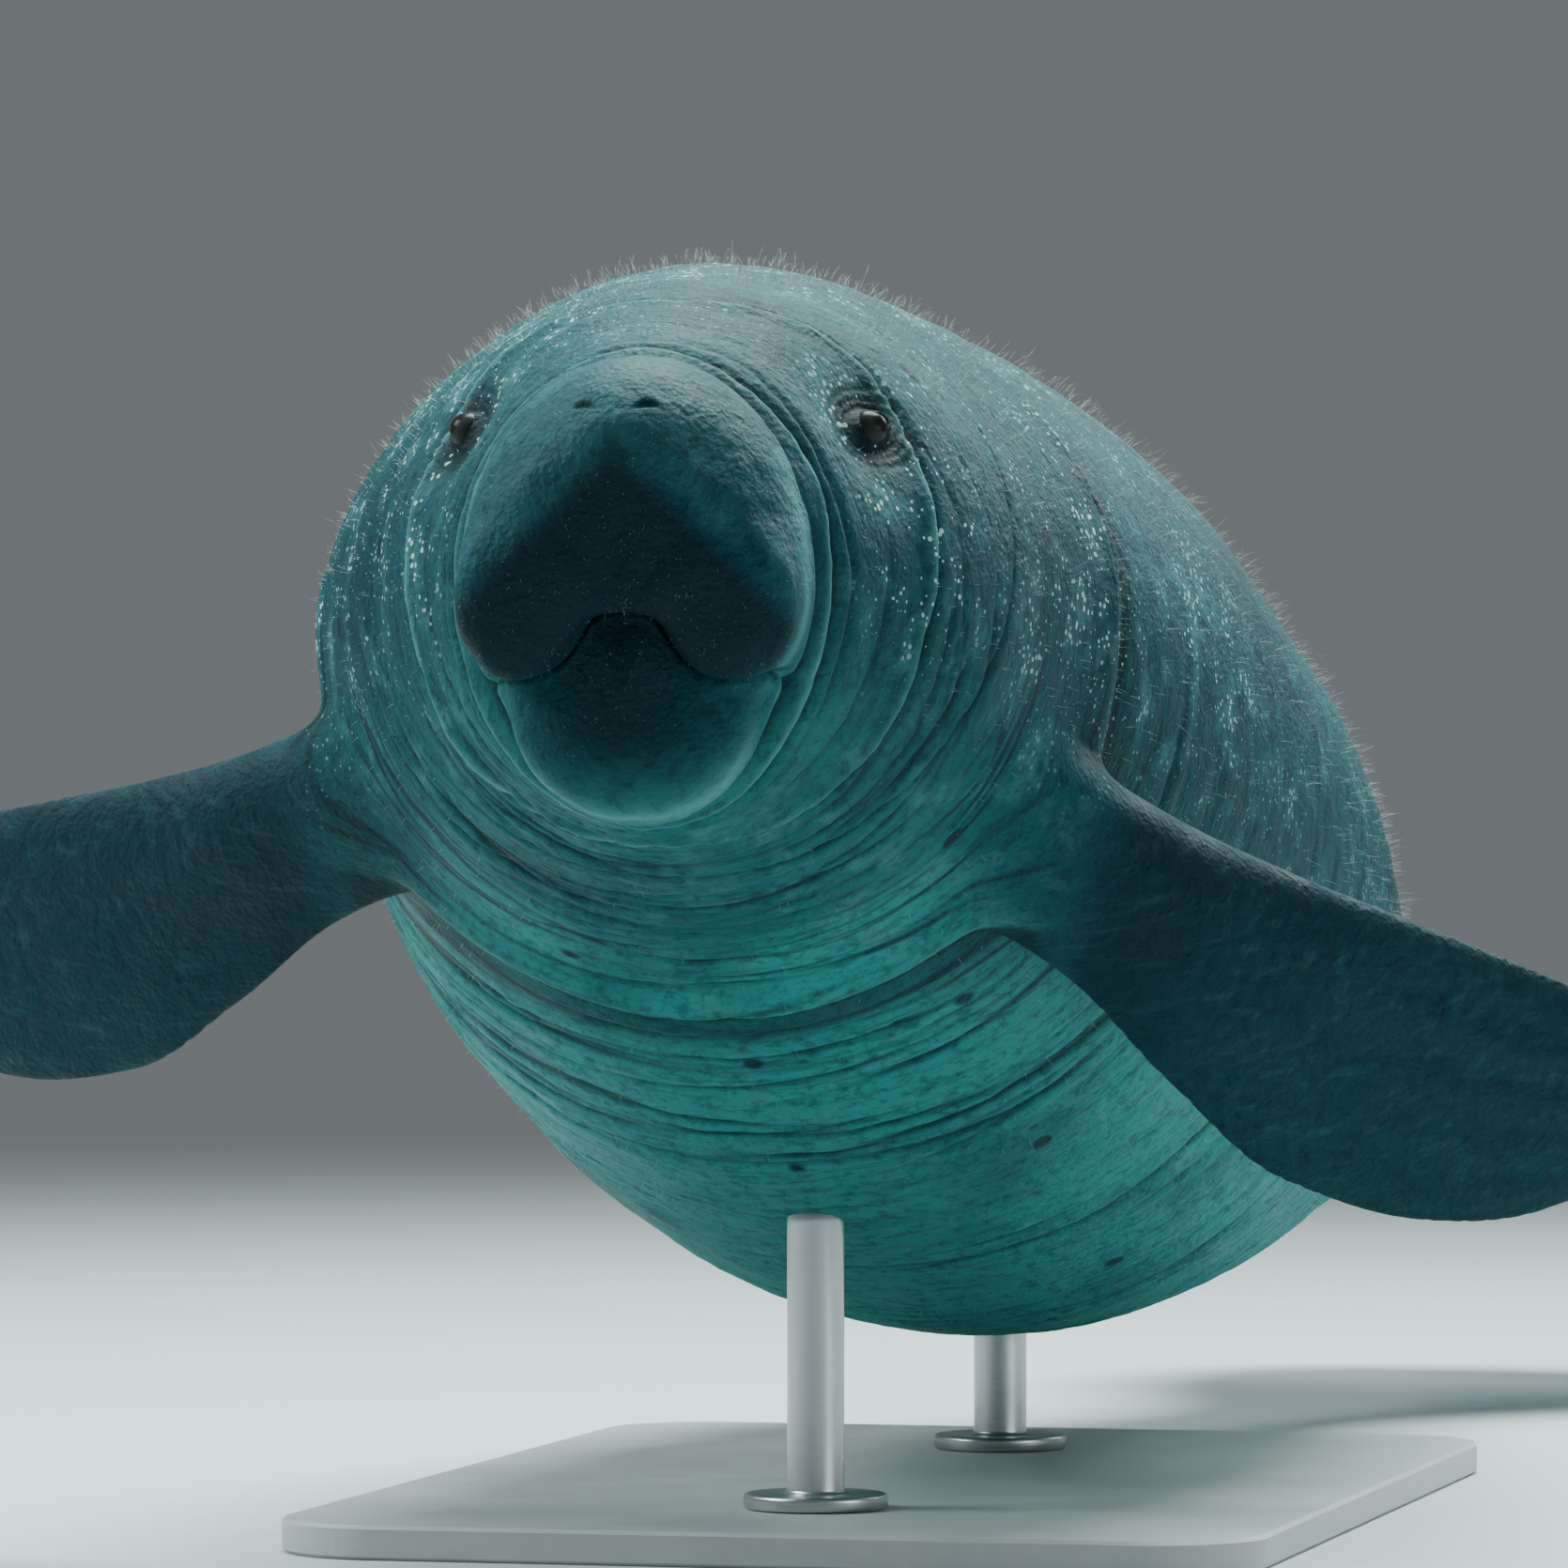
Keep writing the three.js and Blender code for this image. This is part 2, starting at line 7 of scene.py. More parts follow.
import bpy
import numpy as np
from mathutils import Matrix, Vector


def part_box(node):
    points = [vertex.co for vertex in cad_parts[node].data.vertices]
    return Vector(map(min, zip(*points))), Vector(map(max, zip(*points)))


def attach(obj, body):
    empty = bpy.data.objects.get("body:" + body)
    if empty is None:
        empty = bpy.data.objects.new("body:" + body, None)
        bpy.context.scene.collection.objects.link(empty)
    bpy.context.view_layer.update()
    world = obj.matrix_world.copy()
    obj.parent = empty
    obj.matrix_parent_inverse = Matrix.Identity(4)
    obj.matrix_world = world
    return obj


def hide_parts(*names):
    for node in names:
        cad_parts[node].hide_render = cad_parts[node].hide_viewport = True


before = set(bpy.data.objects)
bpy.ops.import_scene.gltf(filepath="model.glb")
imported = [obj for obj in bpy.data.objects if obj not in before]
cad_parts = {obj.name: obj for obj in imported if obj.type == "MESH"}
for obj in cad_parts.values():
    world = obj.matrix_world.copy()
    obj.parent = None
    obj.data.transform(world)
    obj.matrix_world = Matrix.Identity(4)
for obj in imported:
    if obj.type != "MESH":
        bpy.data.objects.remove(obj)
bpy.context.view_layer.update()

# Sizes and places that the solids are made to, in metres

BODY_LENGTH = 2.1
SPINE_STEPS = 420
# Place: distance from the nose, half width, height above and depth below the spine
GIRTHS = {
    "lips": (0.085, 0.083, 0.103, 0.114),
    "eyes": (0.160, 0.121, 0.130, 0.130),
    "jowls": (0.225, 0.149, 0.146, 0.150),
    "nape": (0.290, 0.170, 0.158, 0.168),
    "armpits": (0.370, 0.194, 0.178, 0.188),
    "chest": (0.520, 0.226, 0.208, 0.218),
    "ribs": (0.720, 0.248, 0.230, 0.238),
    "girth": (0.920, 0.252, 0.230, 0.238),
    "flank": (1.130, 0.230, 0.204, 0.210),
    "vent": (1.330, 0.180, 0.160, 0.160),
    "hip": (1.480, 0.132, 0.118, 0.114),
    "tail waist": (1.600, 0.108, 0.086, 0.084),
    "paddle root": (1.700, 0.134, 0.062, 0.058),
    "paddle shoulder": (1.820, 0.204, 0.040, 0.036),
    "paddle widest": (1.935, 0.238, 0.028, 0.025),
    "paddle curve": (2.035, 0.200, 0.017, 0.015),
    "paddle rim": (2.080, 0.130, 0.010, 0.009),
    "paddle tip": (BODY_LENGTH, 0.040, 0.004, 0.004),
}
# Distance from the nose, swing of the tail to +X and how it sinks, in degrees
HEADINGS = (
    (0.00, 8, -1), (0.20, 8, 1), (0.30, 3, 4), (0.45, 11, 13), (0.65, 14, 17),
    (0.90, 14, 15), (1.30, 20, 10), (1.70, 28, 5), (BODY_LENGTH, 31, 0),
)
# The shoulders narrow towards the back by a share of their width, over this stretch
SHOULDERS_NARROW_BY = 0.14
SHOULDERS = (0.180, 0.330, 0.450, 0.750)
LIPS_AT = GIRTHS["lips"][0]
DOME_FORWARD = 0.070
DOME_BLUNTNESS = 2.5
DOME_SWELLS_BY = math.radians(35)
PAD_BLEND = 0.016
# Pads of the muzzle: centre and radii sideways, forward and up of the lips' ring
PADS = {
    "nose": ((0, 0.016, 0.046), (0.038, 0.060, 0.050)),
    "left bridge": ((0.022, 0.018, 0.020), (0.036, 0.056, 0.036)),
    "right bridge": ((-0.022, 0.018, 0.020), (0.036, 0.056, 0.036)),
    "left lip": ((0.043, 0.028, -0.014), (0.039, 0.060, 0.042)),
    "right lip": ((-0.043, 0.028, -0.014), (0.039, 0.060, 0.042)),
    "lower lip": ((0, 0.024, -0.052), (0.036, 0.034, 0.030)),
    "chin": ((0, 0.004, -0.068), (0.068, 0.054, 0.049)),
}
# The leaning plane that flattens the front of the muzzle
FACE_UP = 0.050
FACE_FORWARD = 0.073
FACE_LEAN = math.radians(14)
FACE_BLEND = 0.026
FACE_GRAZING = 1e-3
EYE_AT = 0.172
EYE_TURN = math.radians(35)
EYE_TURNS = {"eye_left": EYE_TURN, "eye_right": math.pi - EYE_TURN}
EYE_RADIUS = 0.0095
EYE_SUNK = 0.010
SOCKET_DEPTH = 0.007
SOCKET_WIDTH = 0.030
# Place: distance from the shoulder, chord, thickness, rearward offset of the chord's middle
FLIPPER = {
    "root": (0.000, 0.150, 0.095, 0.010),
    "shoulder": (0.050, 0.104, 0.062, 0.004),
    "forearm": (0.100, 0.098, 0.050, 0.002),
    "wrist": (0.180, 0.124, 0.040, 0.010),
    "palm": (0.250, 0.147, 0.032, 0.018),
    "fingers": (0.320, 0.140, 0.025, 0.016),
    "finger ends": (0.380, 0.106, 0.018, 0.008),
    "nail line": (0.412, 0.062, 0.012, 0.002),
    "tip": (0.425, 0.014, 0.006, 0.000),
}
FLIPPER_LENGTH = 0.425
FLIPPER_STEPS = 425
FLIPPER_BURIED = 0.060
FLIPPER_TAPER = 0.35
FLIPPER_DROOP_MIDDLE = 0.4
# Side, distance from the nose, and in degrees: turn, sweep, droop, twist and lift
FLIPPER_POSES = {
    "left": (1, 0.400, -35, 30, 22, 76, 28),
    "right": (-1, 0.400, -28, 30, 10, 68, 28),
}

# How far the skin lies inside the solids, and how finely it is drawn
SKIN_INSET = 0.0010
FLIPPER_INSET = 0.0008
HEAD_TURNS = 720
TRUNK_TURNS = 360
FLIPPER_TURNS = 160
# Rows of points over each stretch of the body and of a flipper, and where it ends
NOSE_OPENED = math.radians(88.8)
MUZZLE_ROWS = 161
HEAD_ROWS, HEAD_ENDS = 226, 0.42
TRUNK_STRETCHES = ((270, 1.38), (200, 2.04), (40, BODY_LENGTH))
FLIPPER_STRETCHES = ((150, 0.38), (30, FLIPPER_LENGTH))
SEED = 20
MM = 0.001


def table(named):
    """The rows of a dictionary of named places as an array."""
    return np.array(list(named.values()), float)


GIRTH_TABLE = table(GIRTHS)
HEADING_TABLE = np.array(HEADINGS, float)
FLIPPER_TABLE = table(FLIPPER)


def value_along(knots, column, at):
    """A smooth curve through one column of a table, flat where it turns back."""
    x, y = knots[:, 0], knots[:, column]
    h = np.diff(x)
    slope = np.diff(y) / h
    tangent = np.empty(len(x))
    tangent[0], tangent[-1] = slope[0], slope[-1]
    tangent[1:-1] = (slope[:-1] * h[1:] + slope[1:] * h[:-1]) / (h[:-1] + h[1:])
    tangent[1:-1][slope[:-1] * slope[1:] <= 0] = 0
    at = np.clip(at, x[0], x[-1])
    i = np.clip(np.searchsorted(x, at) - 1, 0, len(x) - 2)
    u = (at - x[i]) / h[i]
    stay = (1 + 2 * u) * (1 - u) ** 2 * y[i] + u * (1 - u) ** 2 * h[i] * tangent[i]
    reach = u * u * (3 - 2 * u) * y[i + 1] + u * u * (u - 1) * h[i] * tangent[i + 1]
    return stay + reach


def smoothstep(x, low, high):
    u = np.clip((x - low) / (high - low), 0, 1)
    return u * u * (3 - 2 * u)


def between(x, low, full, fading, gone):
    """1 along a stretch that comes in and fades out smoothly."""
    return smoothstep(x, low, full) * (1 - smoothstep(x, fading, gone))


def bell(x):
    return np.exp(-x * x)


def unit(vectors):
    return vectors / np.linalg.norm(vectors, axis=-1, keepdims=True)


def trace_spine():
    """Points and headings of the spine from the nose to the tail's tip."""
    at = np.linspace(0, BODY_LENGTH, SPINE_STEPS + 1)
    swing, sink = (np.radians(value_along(HEADING_TABLE, c, at)) for c in (1, 2))
    back = np.stack([np.sin(swing) * np.cos(sink), np.cos(swing) * np.cos(sink), -np.sin(sink)], 1)
    strides = (back[1:] + back[:-1]) * (BODY_LENGTH / SPINE_STEPS / 2)
    centre = np.concatenate([np.zeros((1, 3)), np.cumsum(strides, axis=0)])
    return at, centre, back


SPINE_AT, SPINE_CENTRE, SPINE_BACK = trace_spine()


def frame_at(at):
    """Centre, back, side and up of the spine at each distance."""
    at = np.asarray(at, float)
    centre = np.stack([np.interp(at, SPINE_AT, SPINE_CENTRE[:, k]) for k in range(3)], -1)
    back = unit(np.stack([np.interp(at, SPINE_AT, SPINE_BACK[:, k]) for k in range(3)], -1))
    side = unit(np.cross(back, (0.0, 0.0, 1.0)))
    return centre, back, side, np.cross(side, back)


def narrowing(at, rise):
    """How much narrower the oval is than a plain one, at a share of its height."""
    return 1 - SHOULDERS_NARROW_BY * between(at, *SHOULDERS) * np.clip(rise, 0, 1) ** 2


def height_at(at, rise):
    """The body's height above the spine, or its depth below it where the rise is negative."""
    return np.where(rise >= 0, value_along(GIRTH_TABLE, 2, at), value_along(GIRTH_TABLE, 3, at))


def oval_at(at, turn):
    """The body's oval: sideways, up, and the outward direction of each."""
    half, height = value_along(GIRTH_TABLE, 1, at), height_at(at, np.sin(turn))
    out_x, out_z = np.cos(turn) / half, np.sin(turn) / height
    length = np.hypot(out_x, out_z)
    x = half * np.cos(turn) * narrowing(at, np.sin(turn))
    return x, height * np.sin(turn), out_x / length, out_z / length


def turn_of(at, x, z):
    """The turn of a place beside the spine, and how far it lies outside the body."""
    height = height_at(at, z)
    half = value_along(GIRTH_TABLE, 1, at) * narrowing(at, z / height)
    outside = (np.hypot(x / half, z / height) - 1) * np.minimum(half, height)
    return np.arctan2(z / height, x / half), outside


def from_eye(at, turn, eye_turn):
    """Distance along the spine and round the body from the middle of an eye."""
    x, z, _, _ = oval_at(at, turn)
    apart = np.arctan2(np.sin(turn - eye_turn), np.cos(turn - eye_turn)) * np.hypot(x, z)
    return at - EYE_AT, apart


def socket_depth(at, turn):
    depth = 0
    for eye_turn in EYE_TURNS.values():
        depth = depth + SOCKET_DEPTH * bell(np.hypot(*from_eye(at, turn, eye_turn)) / SOCKET_WIDTH)
    return depth


def on_body(at, turn, raised=0.0):
    """Points of the body's surface, raised along its outward direction."""
    at, turn = np.broadcast_arrays(np.asarray(at, float), np.asarray(turn, float))
    centre, _, side, up = frame_at(at)
    x, z, out_x, out_z = oval_at(at, turn)
    lift = raised - socket_depth(at, turn)
    return centre + side * (x + out_x * lift)[..., None] + up * (z + out_z * lift)[..., None]


def ray_to_pad(ray, centre, radii):
    """Distance along rays to the far side of a pad, 0 where they miss it."""
    d = ray / np.array(radii)
    o = -np.array(centre, float) / np.array(radii)
    a, b, c = (d * d).sum(-1), (d * o).sum(-1), (o * o).sum() - 1
    inside = b * b - a * c
    return np.where(inside > 0, (np.sqrt(np.maximum(inside, 0)) - b) / a, 0.0)


def smooth_max(a, b, blend):
    share = np.clip(0.5 + 0.5 * (a - b) / blend, 0, 1)
    return b + (a - b) * share + blend * share * (1 - share)


def ray_to_face(ray):
    forward, down = math.cos(FACE_LEAN), math.sin(FACE_LEAN)
    closing = ray[..., 1] * forward - ray[..., 2] * down
    return (FACE_FORWARD * forward - FACE_UP * down) / np.maximum(closing, FACE_GRAZING)


def muzzle_ray(opened, turn):
    """Directions from the middle of the lips' ring: sideways, forward, up."""
    x, z, _, _ = oval_at(LIPS_AT, turn)
    angle = np.arctan2(z, x)
    ray = np.stack([np.cos(opened) * np.cos(angle), np.sin(opened), np.cos(opened) * np.sin(angle)], -1)
    return ray, np.hypot(x, z)


def muzzle_radius(ray, ring, opened):
    n = DOME_BLUNTNESS
    dome = ((np.cos(opened) / ring) ** n + (np.sin(opened) / DOME_FORWARD) ** n) ** (-1 / n)
    swollen = dome
    for centre, radii in PADS.values():
        swollen = smooth_max(swollen, ray_to_pad(ray, centre, radii), PAD_BLEND)
    swollen = -smooth_max(-swollen, -ray_to_face(ray), FACE_BLEND)
    return dome + (swollen - dome) * smoothstep(opened, 0, DOME_SWELLS_BY)


def from_muzzle_frame(local):
    """Points given sideways, forward and up of the lips' ring, in the spine's frame."""
    centre, back, side, up = frame_at(LIPS_AT)
    return centre + local[..., :1] * side - local[..., 1:2] * back + local[..., 2:] * up


def to_muzzle_frame(points):
    """Points in the spine's frame, as sideways, forward and up of the lips' ring."""
    centre, back, side, up = frame_at(LIPS_AT)
    offset = points - centre
    return np.stack([offset @ side, -(offset @ back), offset @ up], -1)


def eye_centre(name):
    return on_body(EYE_AT, EYE_TURNS[name], SOCKET_DEPTH - EYE_SUNK)


# The solids' frame is moved so that the stand is on the floor; the eye says how far
SHIFT = np.array(sum(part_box("eye_left"), Vector()) / 2) - eye_centre("eye_left")


# Large odd numbers that scatter the noise's cells and mix their bits
CELL_FACTORS = np.array([73856093, 19349663, 83492791])
SEED_FACTOR = 2654435761
MIXING_FACTOR = 1274126177
NOISE_LEVELS = 0xFFFF


def lattice_noise(points, scale, seed):
    """Smooth noise between -1 and 1 at each point."""
    p = np.asarray(points) * scale
    cell = np.floor(p).astype(np.int64)
    u = p - cell
    u = u * u * (3 - 2 * u)
    total = np.zeros(p.shape[:-1])
    for corner in range(8):
        bits = np.array([corner & 1, (corner >> 1) & 1, (corner >> 2) & 1])
        key = ((cell + bits) * CELL_FACTORS).sum(-1) ^ (seed * SEED_FACTOR)
        key = (key ^ (key >> 13)) * MIXING_FACTOR
        value = ((key ^ (key >> 16)) & NOISE_LEVELS) / (NOISE_LEVELS / 2) - 1
        total += value * np.where(bits == 1, u, 1 - u).prod(-1)
    return total


# Folds of the hide that run round the body, named from the nose backwards, in millimetres.
# Each has its distance from the nose and its strength at five elevations, from the belly up
# to the back, then the depth of its groove, the height of the ridge before it and its width.
FOLD_ELEVATIONS = (-90, -45, 0, 45, 90)
FOLDS = {
    "muzzle edge": ((86, 86, 88, 86, 86), (2.5, 2.2, 1, 0.7, 0.4), 3.4, 1.4, 2.6),
    "muzzle rim": ((104, 102, 101, 100, 98), (1.2, 1.1, 1, 0.8, 0.6), 5, 2.2, 2.8),
    "lip crease": ((118, 115, 113, 111, 109), (0.5, 0.8, 1, 0.6, 0.2), 3.4, 1.4, 2.6),
    "cheek fold": ((140, 168, 174, 197, 176), (1.1, 1, 1.1, 1.1, 0.3), 5.4, 3.6, 3.4),
    "jowl fold": ((200, 217, 250, 280, 270), (0.7, 1, 1, 1, 0.5), 4.4, 1.4, 2.8),
    "throat 1": ((225, 250, 290, 330, 340), (1, 0.8, 0.3, 0, 0), 2.4, 1.2, 3),
    "throat 2": ((252, 275, 310, 350, 360), (1, 0.8, 0.3, 0, 0), 2.6, 1.4, 3.4),
    "throat 3": ((290, 305, 330, 370, 380), (1, 0.8, 0.3, 0.1, 0), 2.8, 1.6, 4),
    "neck crease": ((330, 335, 345, 360, 350), (0.8, 0.6, 0.5, 0.3, 0.3), 2.2, 1, 3.4),
    "shoulder crease": ((368, 375, 390, 405, 410), (0.5, 0.6, 1, 0.6, 0.2), 3.4, 1.4, 3.2),
    "chest roll": ((412, 414, 418, 430, 440), (1, 0.9, 0.5, 0, 0), 12, 11, 10),
    "chest crease 1": ((442, 444, 450, 460, 470), (1, 0.8, 0.3, 0, 0), 3.4, 1.8, 4),
    "chest crease 2": ((476, 478, 484, 490, 500), (1, 0.8, 0.3, 0, 0), 2.8, 1.6, 4.4),
    "chest crease 3": ((520, 522, 530, 540, 550), (1, 0.8, 0.3, 0, 0), 2, 1.2, 4.6),
    "waist fold 1": ((1430,) * 5, (0.9, 1, 1, 0.8, 0.7), 2.4, 1.4, 6),
    "waist fold 2": ((1495,) * 5, (0.9, 1, 1, 0.9, 0.9), 3, 1.8, 6),
    "waist fold 3": ((1560,) * 5, (0.9, 1, 1, 0.9, 0.9), 3, 1.8, 6),
    "waist fold 4": ((1625,) * 5, (0.8,) * 5, 2.4, 1.4, 6),
}
# How bright the painted highlight on the ridge before a fold is
FOLD_CREST_HIGHLIGHTS = {"muzzle edge": 0.9, "muzzle rim": 0.8, "cheek fold": 1.0, "chest roll": 0.3}
# How a fold wanders, in widths, and how its strength and shine swell round the body:
# mean, swell, how finely, and where its seeds start
FOLD_WANDERS = (0, 1.1, 2.2, 40)
FOLD_SWELLS = (0.8, 0.35, 1.6, 80)
FOLD_SHINES = (0.70, 0.60, 3.0, 120)
LEAST_SHINE = 0.30
# The ridge before a fold and the painted highlight on its crest: how far before it and how wide, in widths
RIDGE_BEFORE, RIDGE_WIDTH = 1.9, 1.35
CREST_BEFORE, CREST_WIDTH = 1.7, 0.8
# Depth of a fold's groove at which its painted shade is full
GROOVE_FULLY_SHADED = 0.004

# Short shallow wrinkles strewn at random: how many, between which distances, the middle
# of their turns and its spread in degrees, depth, width and length, in millimetres
WRINKLES = {
    "snout": (26, 96, 150, 90, 80, 0.8, 1.4, 60),
    "throat": (150, 130, 400, -90, 75, 1.5, 2.0, 120),
    "cheeks": (70, 125, 330, 90, 180, 0.7, 1.4, 60),
    "chest": (100, 400, 640, -90, 70, 1.5, 2.6, 220),
    "trunk": (150, 400, 1350, 90, 180, 0.9, 2.4, 160),
    "belly": (110, 600, 1350, -90, 70, 1.2, 2.8, 220),
    "waist": (140, 1330, 1700, 90, 180, 1.6, 2.6, 120),
    "paddle": (60, 1700, 2040, 90, 180, 0.7, 2.2, 120),
}
WRINKLE_SIZES = (0.5, 1.4)
WRINKLE_SLANT = 0.10


def draw_wrinkles():
    """Rows of distance, turn, half length, slant, width and depth, in order."""
    rng = np.random.default_rng(SEED)
    rows = []
    for count, start, end, middle, spread, depth, width, length in WRINKLES.values():
        at = rng.uniform(start, end, count)
        turn = np.radians(middle + spread * rng.uniform(-1, 1, count))
        size = rng.uniform(*WRINKLE_SIZES, count)
        slant = rng.normal(0, WRINKLE_SLANT, count)
        rows.append(np.stack([
            at * MM, turn, length * MM / 2 * size, slant, width * MM * size, depth * MM * size,
        ], 1))
    rows = np.concatenate(rows)
    return rows[np.argsort(rows[:, 0])]


WRINKLE_ROWS = draw_wrinkles()
TURNS_TABLE = np.linspace(-math.pi, math.pi, 1441)


def round_noise(turn, scale, seed):
    """Smooth noise along a turn round the body."""
    circle = np.stack([np.cos(TURNS_TABLE), np.sin(TURNS_TABLE), np.zeros_like(TURNS_TABLE)], -1)
    return np.interp(turn, TURNS_TABLE, lattice_noise(circle, scale, seed))


def fold_shape(at, turn):
    """How far the folds that run round the body raise the hide, with painted shade in their grooves and
    painted highlights on their crests.
    """
    turn = np.arctan2(np.sin(turn), np.cos(turn))
    elevation = np.degrees(np.arctan2(np.sin(turn), np.abs(np.cos(turn))))
    lift, groove_shade, painted_highlights = (np.zeros_like(at) for _ in range(3))
    for k, (name, (places, strengths, *sizes)) in enumerate(FOLDS.items()):
        groove, ridge, width = np.array(sizes) * MM
        places = np.array(places) * MM
        knots = np.array([FOLD_ELEVATIONS, places, strengths], float).T
        near = (at > places.min() - 8 * width) & (at < places.max() + 5 * width)
        turned, raised = turn[near], elevation[near]

        def varied(mean, swell, scale, seed):
            return mean + swell * round_noise(turned, scale, k + seed)

        line = value_along(knots, 1, raised) + width * varied(*FOLD_WANDERS)
        strength = value_along(knots, 2, raised) * varied(*FOLD_SWELLS)
        shine = FOLD_CREST_HIGHLIGHTS.get(name, 0) * np.clip(varied(*FOLD_SHINES), LEAST_SHINE, 1)
        x = (at[near] - line) / width
        lift[near] += strength * (ridge * bell((x + RIDGE_BEFORE) / RIDGE_WIDTH) - groove * bell(x))
        groove_shade[near] += strength * groove / GROOVE_FULLY_SHADED * bell(x)
        painted_highlights[near] += strength * shine * bell((x + CREST_BEFORE) / CREST_WIDTH)
    return lift, groove_shade, painted_highlights


def wrinkle_lift(at, turn):
    """How far the short wrinkles lower the hide."""
    flat_at, flat_turn = at.ravel(), turn.ravel()
    order = np.argsort(flat_at, kind="stable")
    sorted_at, sorted_turn = flat_at[order], flat_turn[order]
    x, z, _, _ = oval_at(sorted_at, sorted_turn)
    radius = np.hypot(x, z)
    lift = np.zeros_like(sorted_at)
    for place, middle, half, slant, width, depth in WRINKLE_ROWS:
        reach = 3 * width + abs(slant) * half
        a, b = np.searchsorted(sorted_at, (place - reach, place + reach))
        turned = sorted_turn[a:b] - middle
        along = np.arctan2(np.sin(turned), np.cos(turned)) * radius[a:b]
        fade = np.clip(1 - (along / half) ** 2, 0, 1)
        lift[a:b] -= depth * fade * bell((sorted_at[a:b] - place - slant * along) / width)
    spread = np.empty_like(lift)
    spread[order] = lift
    return spread.reshape(at.shape)


EYELID = 0.0016
LID_BLEND = 0.004
# Half length and half height of the opening, its depth, and its rim in shares of its size
EYE_OPENING = (0.0064, 0.0037)
EYE_OPENING_DEPTH = 0.0100
LID_RIM = {"height": 0.0009, "at": 1.24, "width": 0.16}
EYE_HOLLOW = {"before": 0.024, "depth": 0.0055, "long": 0.022, "wide": 0.034}
# Radius and depth of the folds round each eye
LID_FOLDS = ((0.0145, 0.0016), (0.0190, 0.0012), (0.0250, 0.0009))
LID_FOLD_WIDTH = 0.0016
LIDS_REACH = 0.06


def eyelid_lift(at, turn):
    """Lids that cover the eyeball but for its opening, with folds round them."""
    lift = np.zeros_like(at)
    for eye_turn in EYE_TURNS.values():
        along, apart = from_eye(at, turn, eye_turn)
        away = np.hypot(along, apart)
        near = away < LIDS_REACH
        surface = -socket_depth(at[near], turn[near])
        ball = (EYE_RADIUS + EYELID) ** 2 - away[near] ** 2
        lid = np.where(ball > 0, np.sqrt(np.maximum(ball, 0)) - EYE_SUNK, -1.0)
        covered = smooth_max(surface, lid, LID_BLEND) - surface
        angle = np.arctan2(apart[near], along[near])
        for radius, depth in LID_FOLDS:
            ring = radius * (1 + 0.10 * np.cos(2 * angle))
            covered -= depth * bell((away[near] - ring) / LID_FOLD_WIDTH)
        opening = np.hypot(along[near] / EYE_OPENING[0], apart[near] / EYE_OPENING[1])
        covered += LID_RIM["height"] * bell((opening - LID_RIM["at"]) / LID_RIM["width"])
        covered -= EYE_OPENING_DEPTH * smoothstep(-opening, -1.06, -0.80)
        lift[near] += covered
        hollow = np.hypot((along + EYE_HOLLOW["before"]) / EYE_HOLLOW["long"], apart / EYE_HOLLOW["wide"])
        lift -= EYE_HOLLOW["depth"] * bell(hollow)
    return lift


# The mouth as seen from the front: sideways and up of the lips' ring, to one side
MOUTH_LINE = (
    (0.000, -0.0238), (0.014, -0.0246), (0.023, -0.0298), (0.029, -0.0395), (0.036, -0.0495),
    (0.048, -0.0555), (0.060, -0.0560), (0.073, -0.0520), (0.086, -0.0450), (0.100, -0.0390),
)
MOUTH_CREASE = {"width": 0.0022, "depth": 0.0060}
UPPER_LIP = {"curl": 0.0095, "over": 0.0095}
LOWER_LIP = {"tuck": 0.0170, "over": 0.0260}
NOSTRIL = {"apart": 0.0145, "up": 0.079, "half": 0.0064, "arch": 55.0, "width": 0.0013, "depth": 0.0026}
PHILTRUM = {"depth": 0.0032, "half": 0.0085, "up": 0.006, "tall": 0.030}
HEAD_TURNED = -0.002
# Where the mouth comes in, forward of the lips' ring, and the lower lip's tuck goes out
MOUTH_FADES = (-0.014, 0.012)
LOWER_LIP_FADES = (0.040, 0.085)
# Unevenness of the flesh: height, repeats in a metre and seed
BROAD_LUMPS = (0.0022, 9, 3)
FINE_LUMPS = ((0.0006, 55, 4), (0.0004, 140, 5))


def from_mouth(across, up):
    """Distance from the line of the mouth as seen from the front, positive above it."""
    line = np.array(MOUTH_LINE)
    along = np.linspace(0, line[-1, 0], 72)
    height = value_along(line, 1, along)
    gap = np.full(across.shape, 1.0)
    for x, z in zip(along, height):
        np.minimum(gap, (across - x) ** 2 + (up - z) ** 2, out=gap)
    above = up > value_along(line, 1, np.minimum(across, line[-1, 0]))
    return np.where(above, 1, -1) * np.sqrt(gap)


def nostrils(x, z):
    """Where the two closed nostrils run, 1 on their arcs and 0 away from them."""
    beside = np.abs(x) - NOSTRIL["apart"]
    arc = NOSTRIL["up"] - NOSTRIL["arch"] * beside ** 2
    return np.clip(1 - (beside / NOSTRIL["half"]) ** 2, 0, 1) * bell((z - arc) / NOSTRIL["width"])


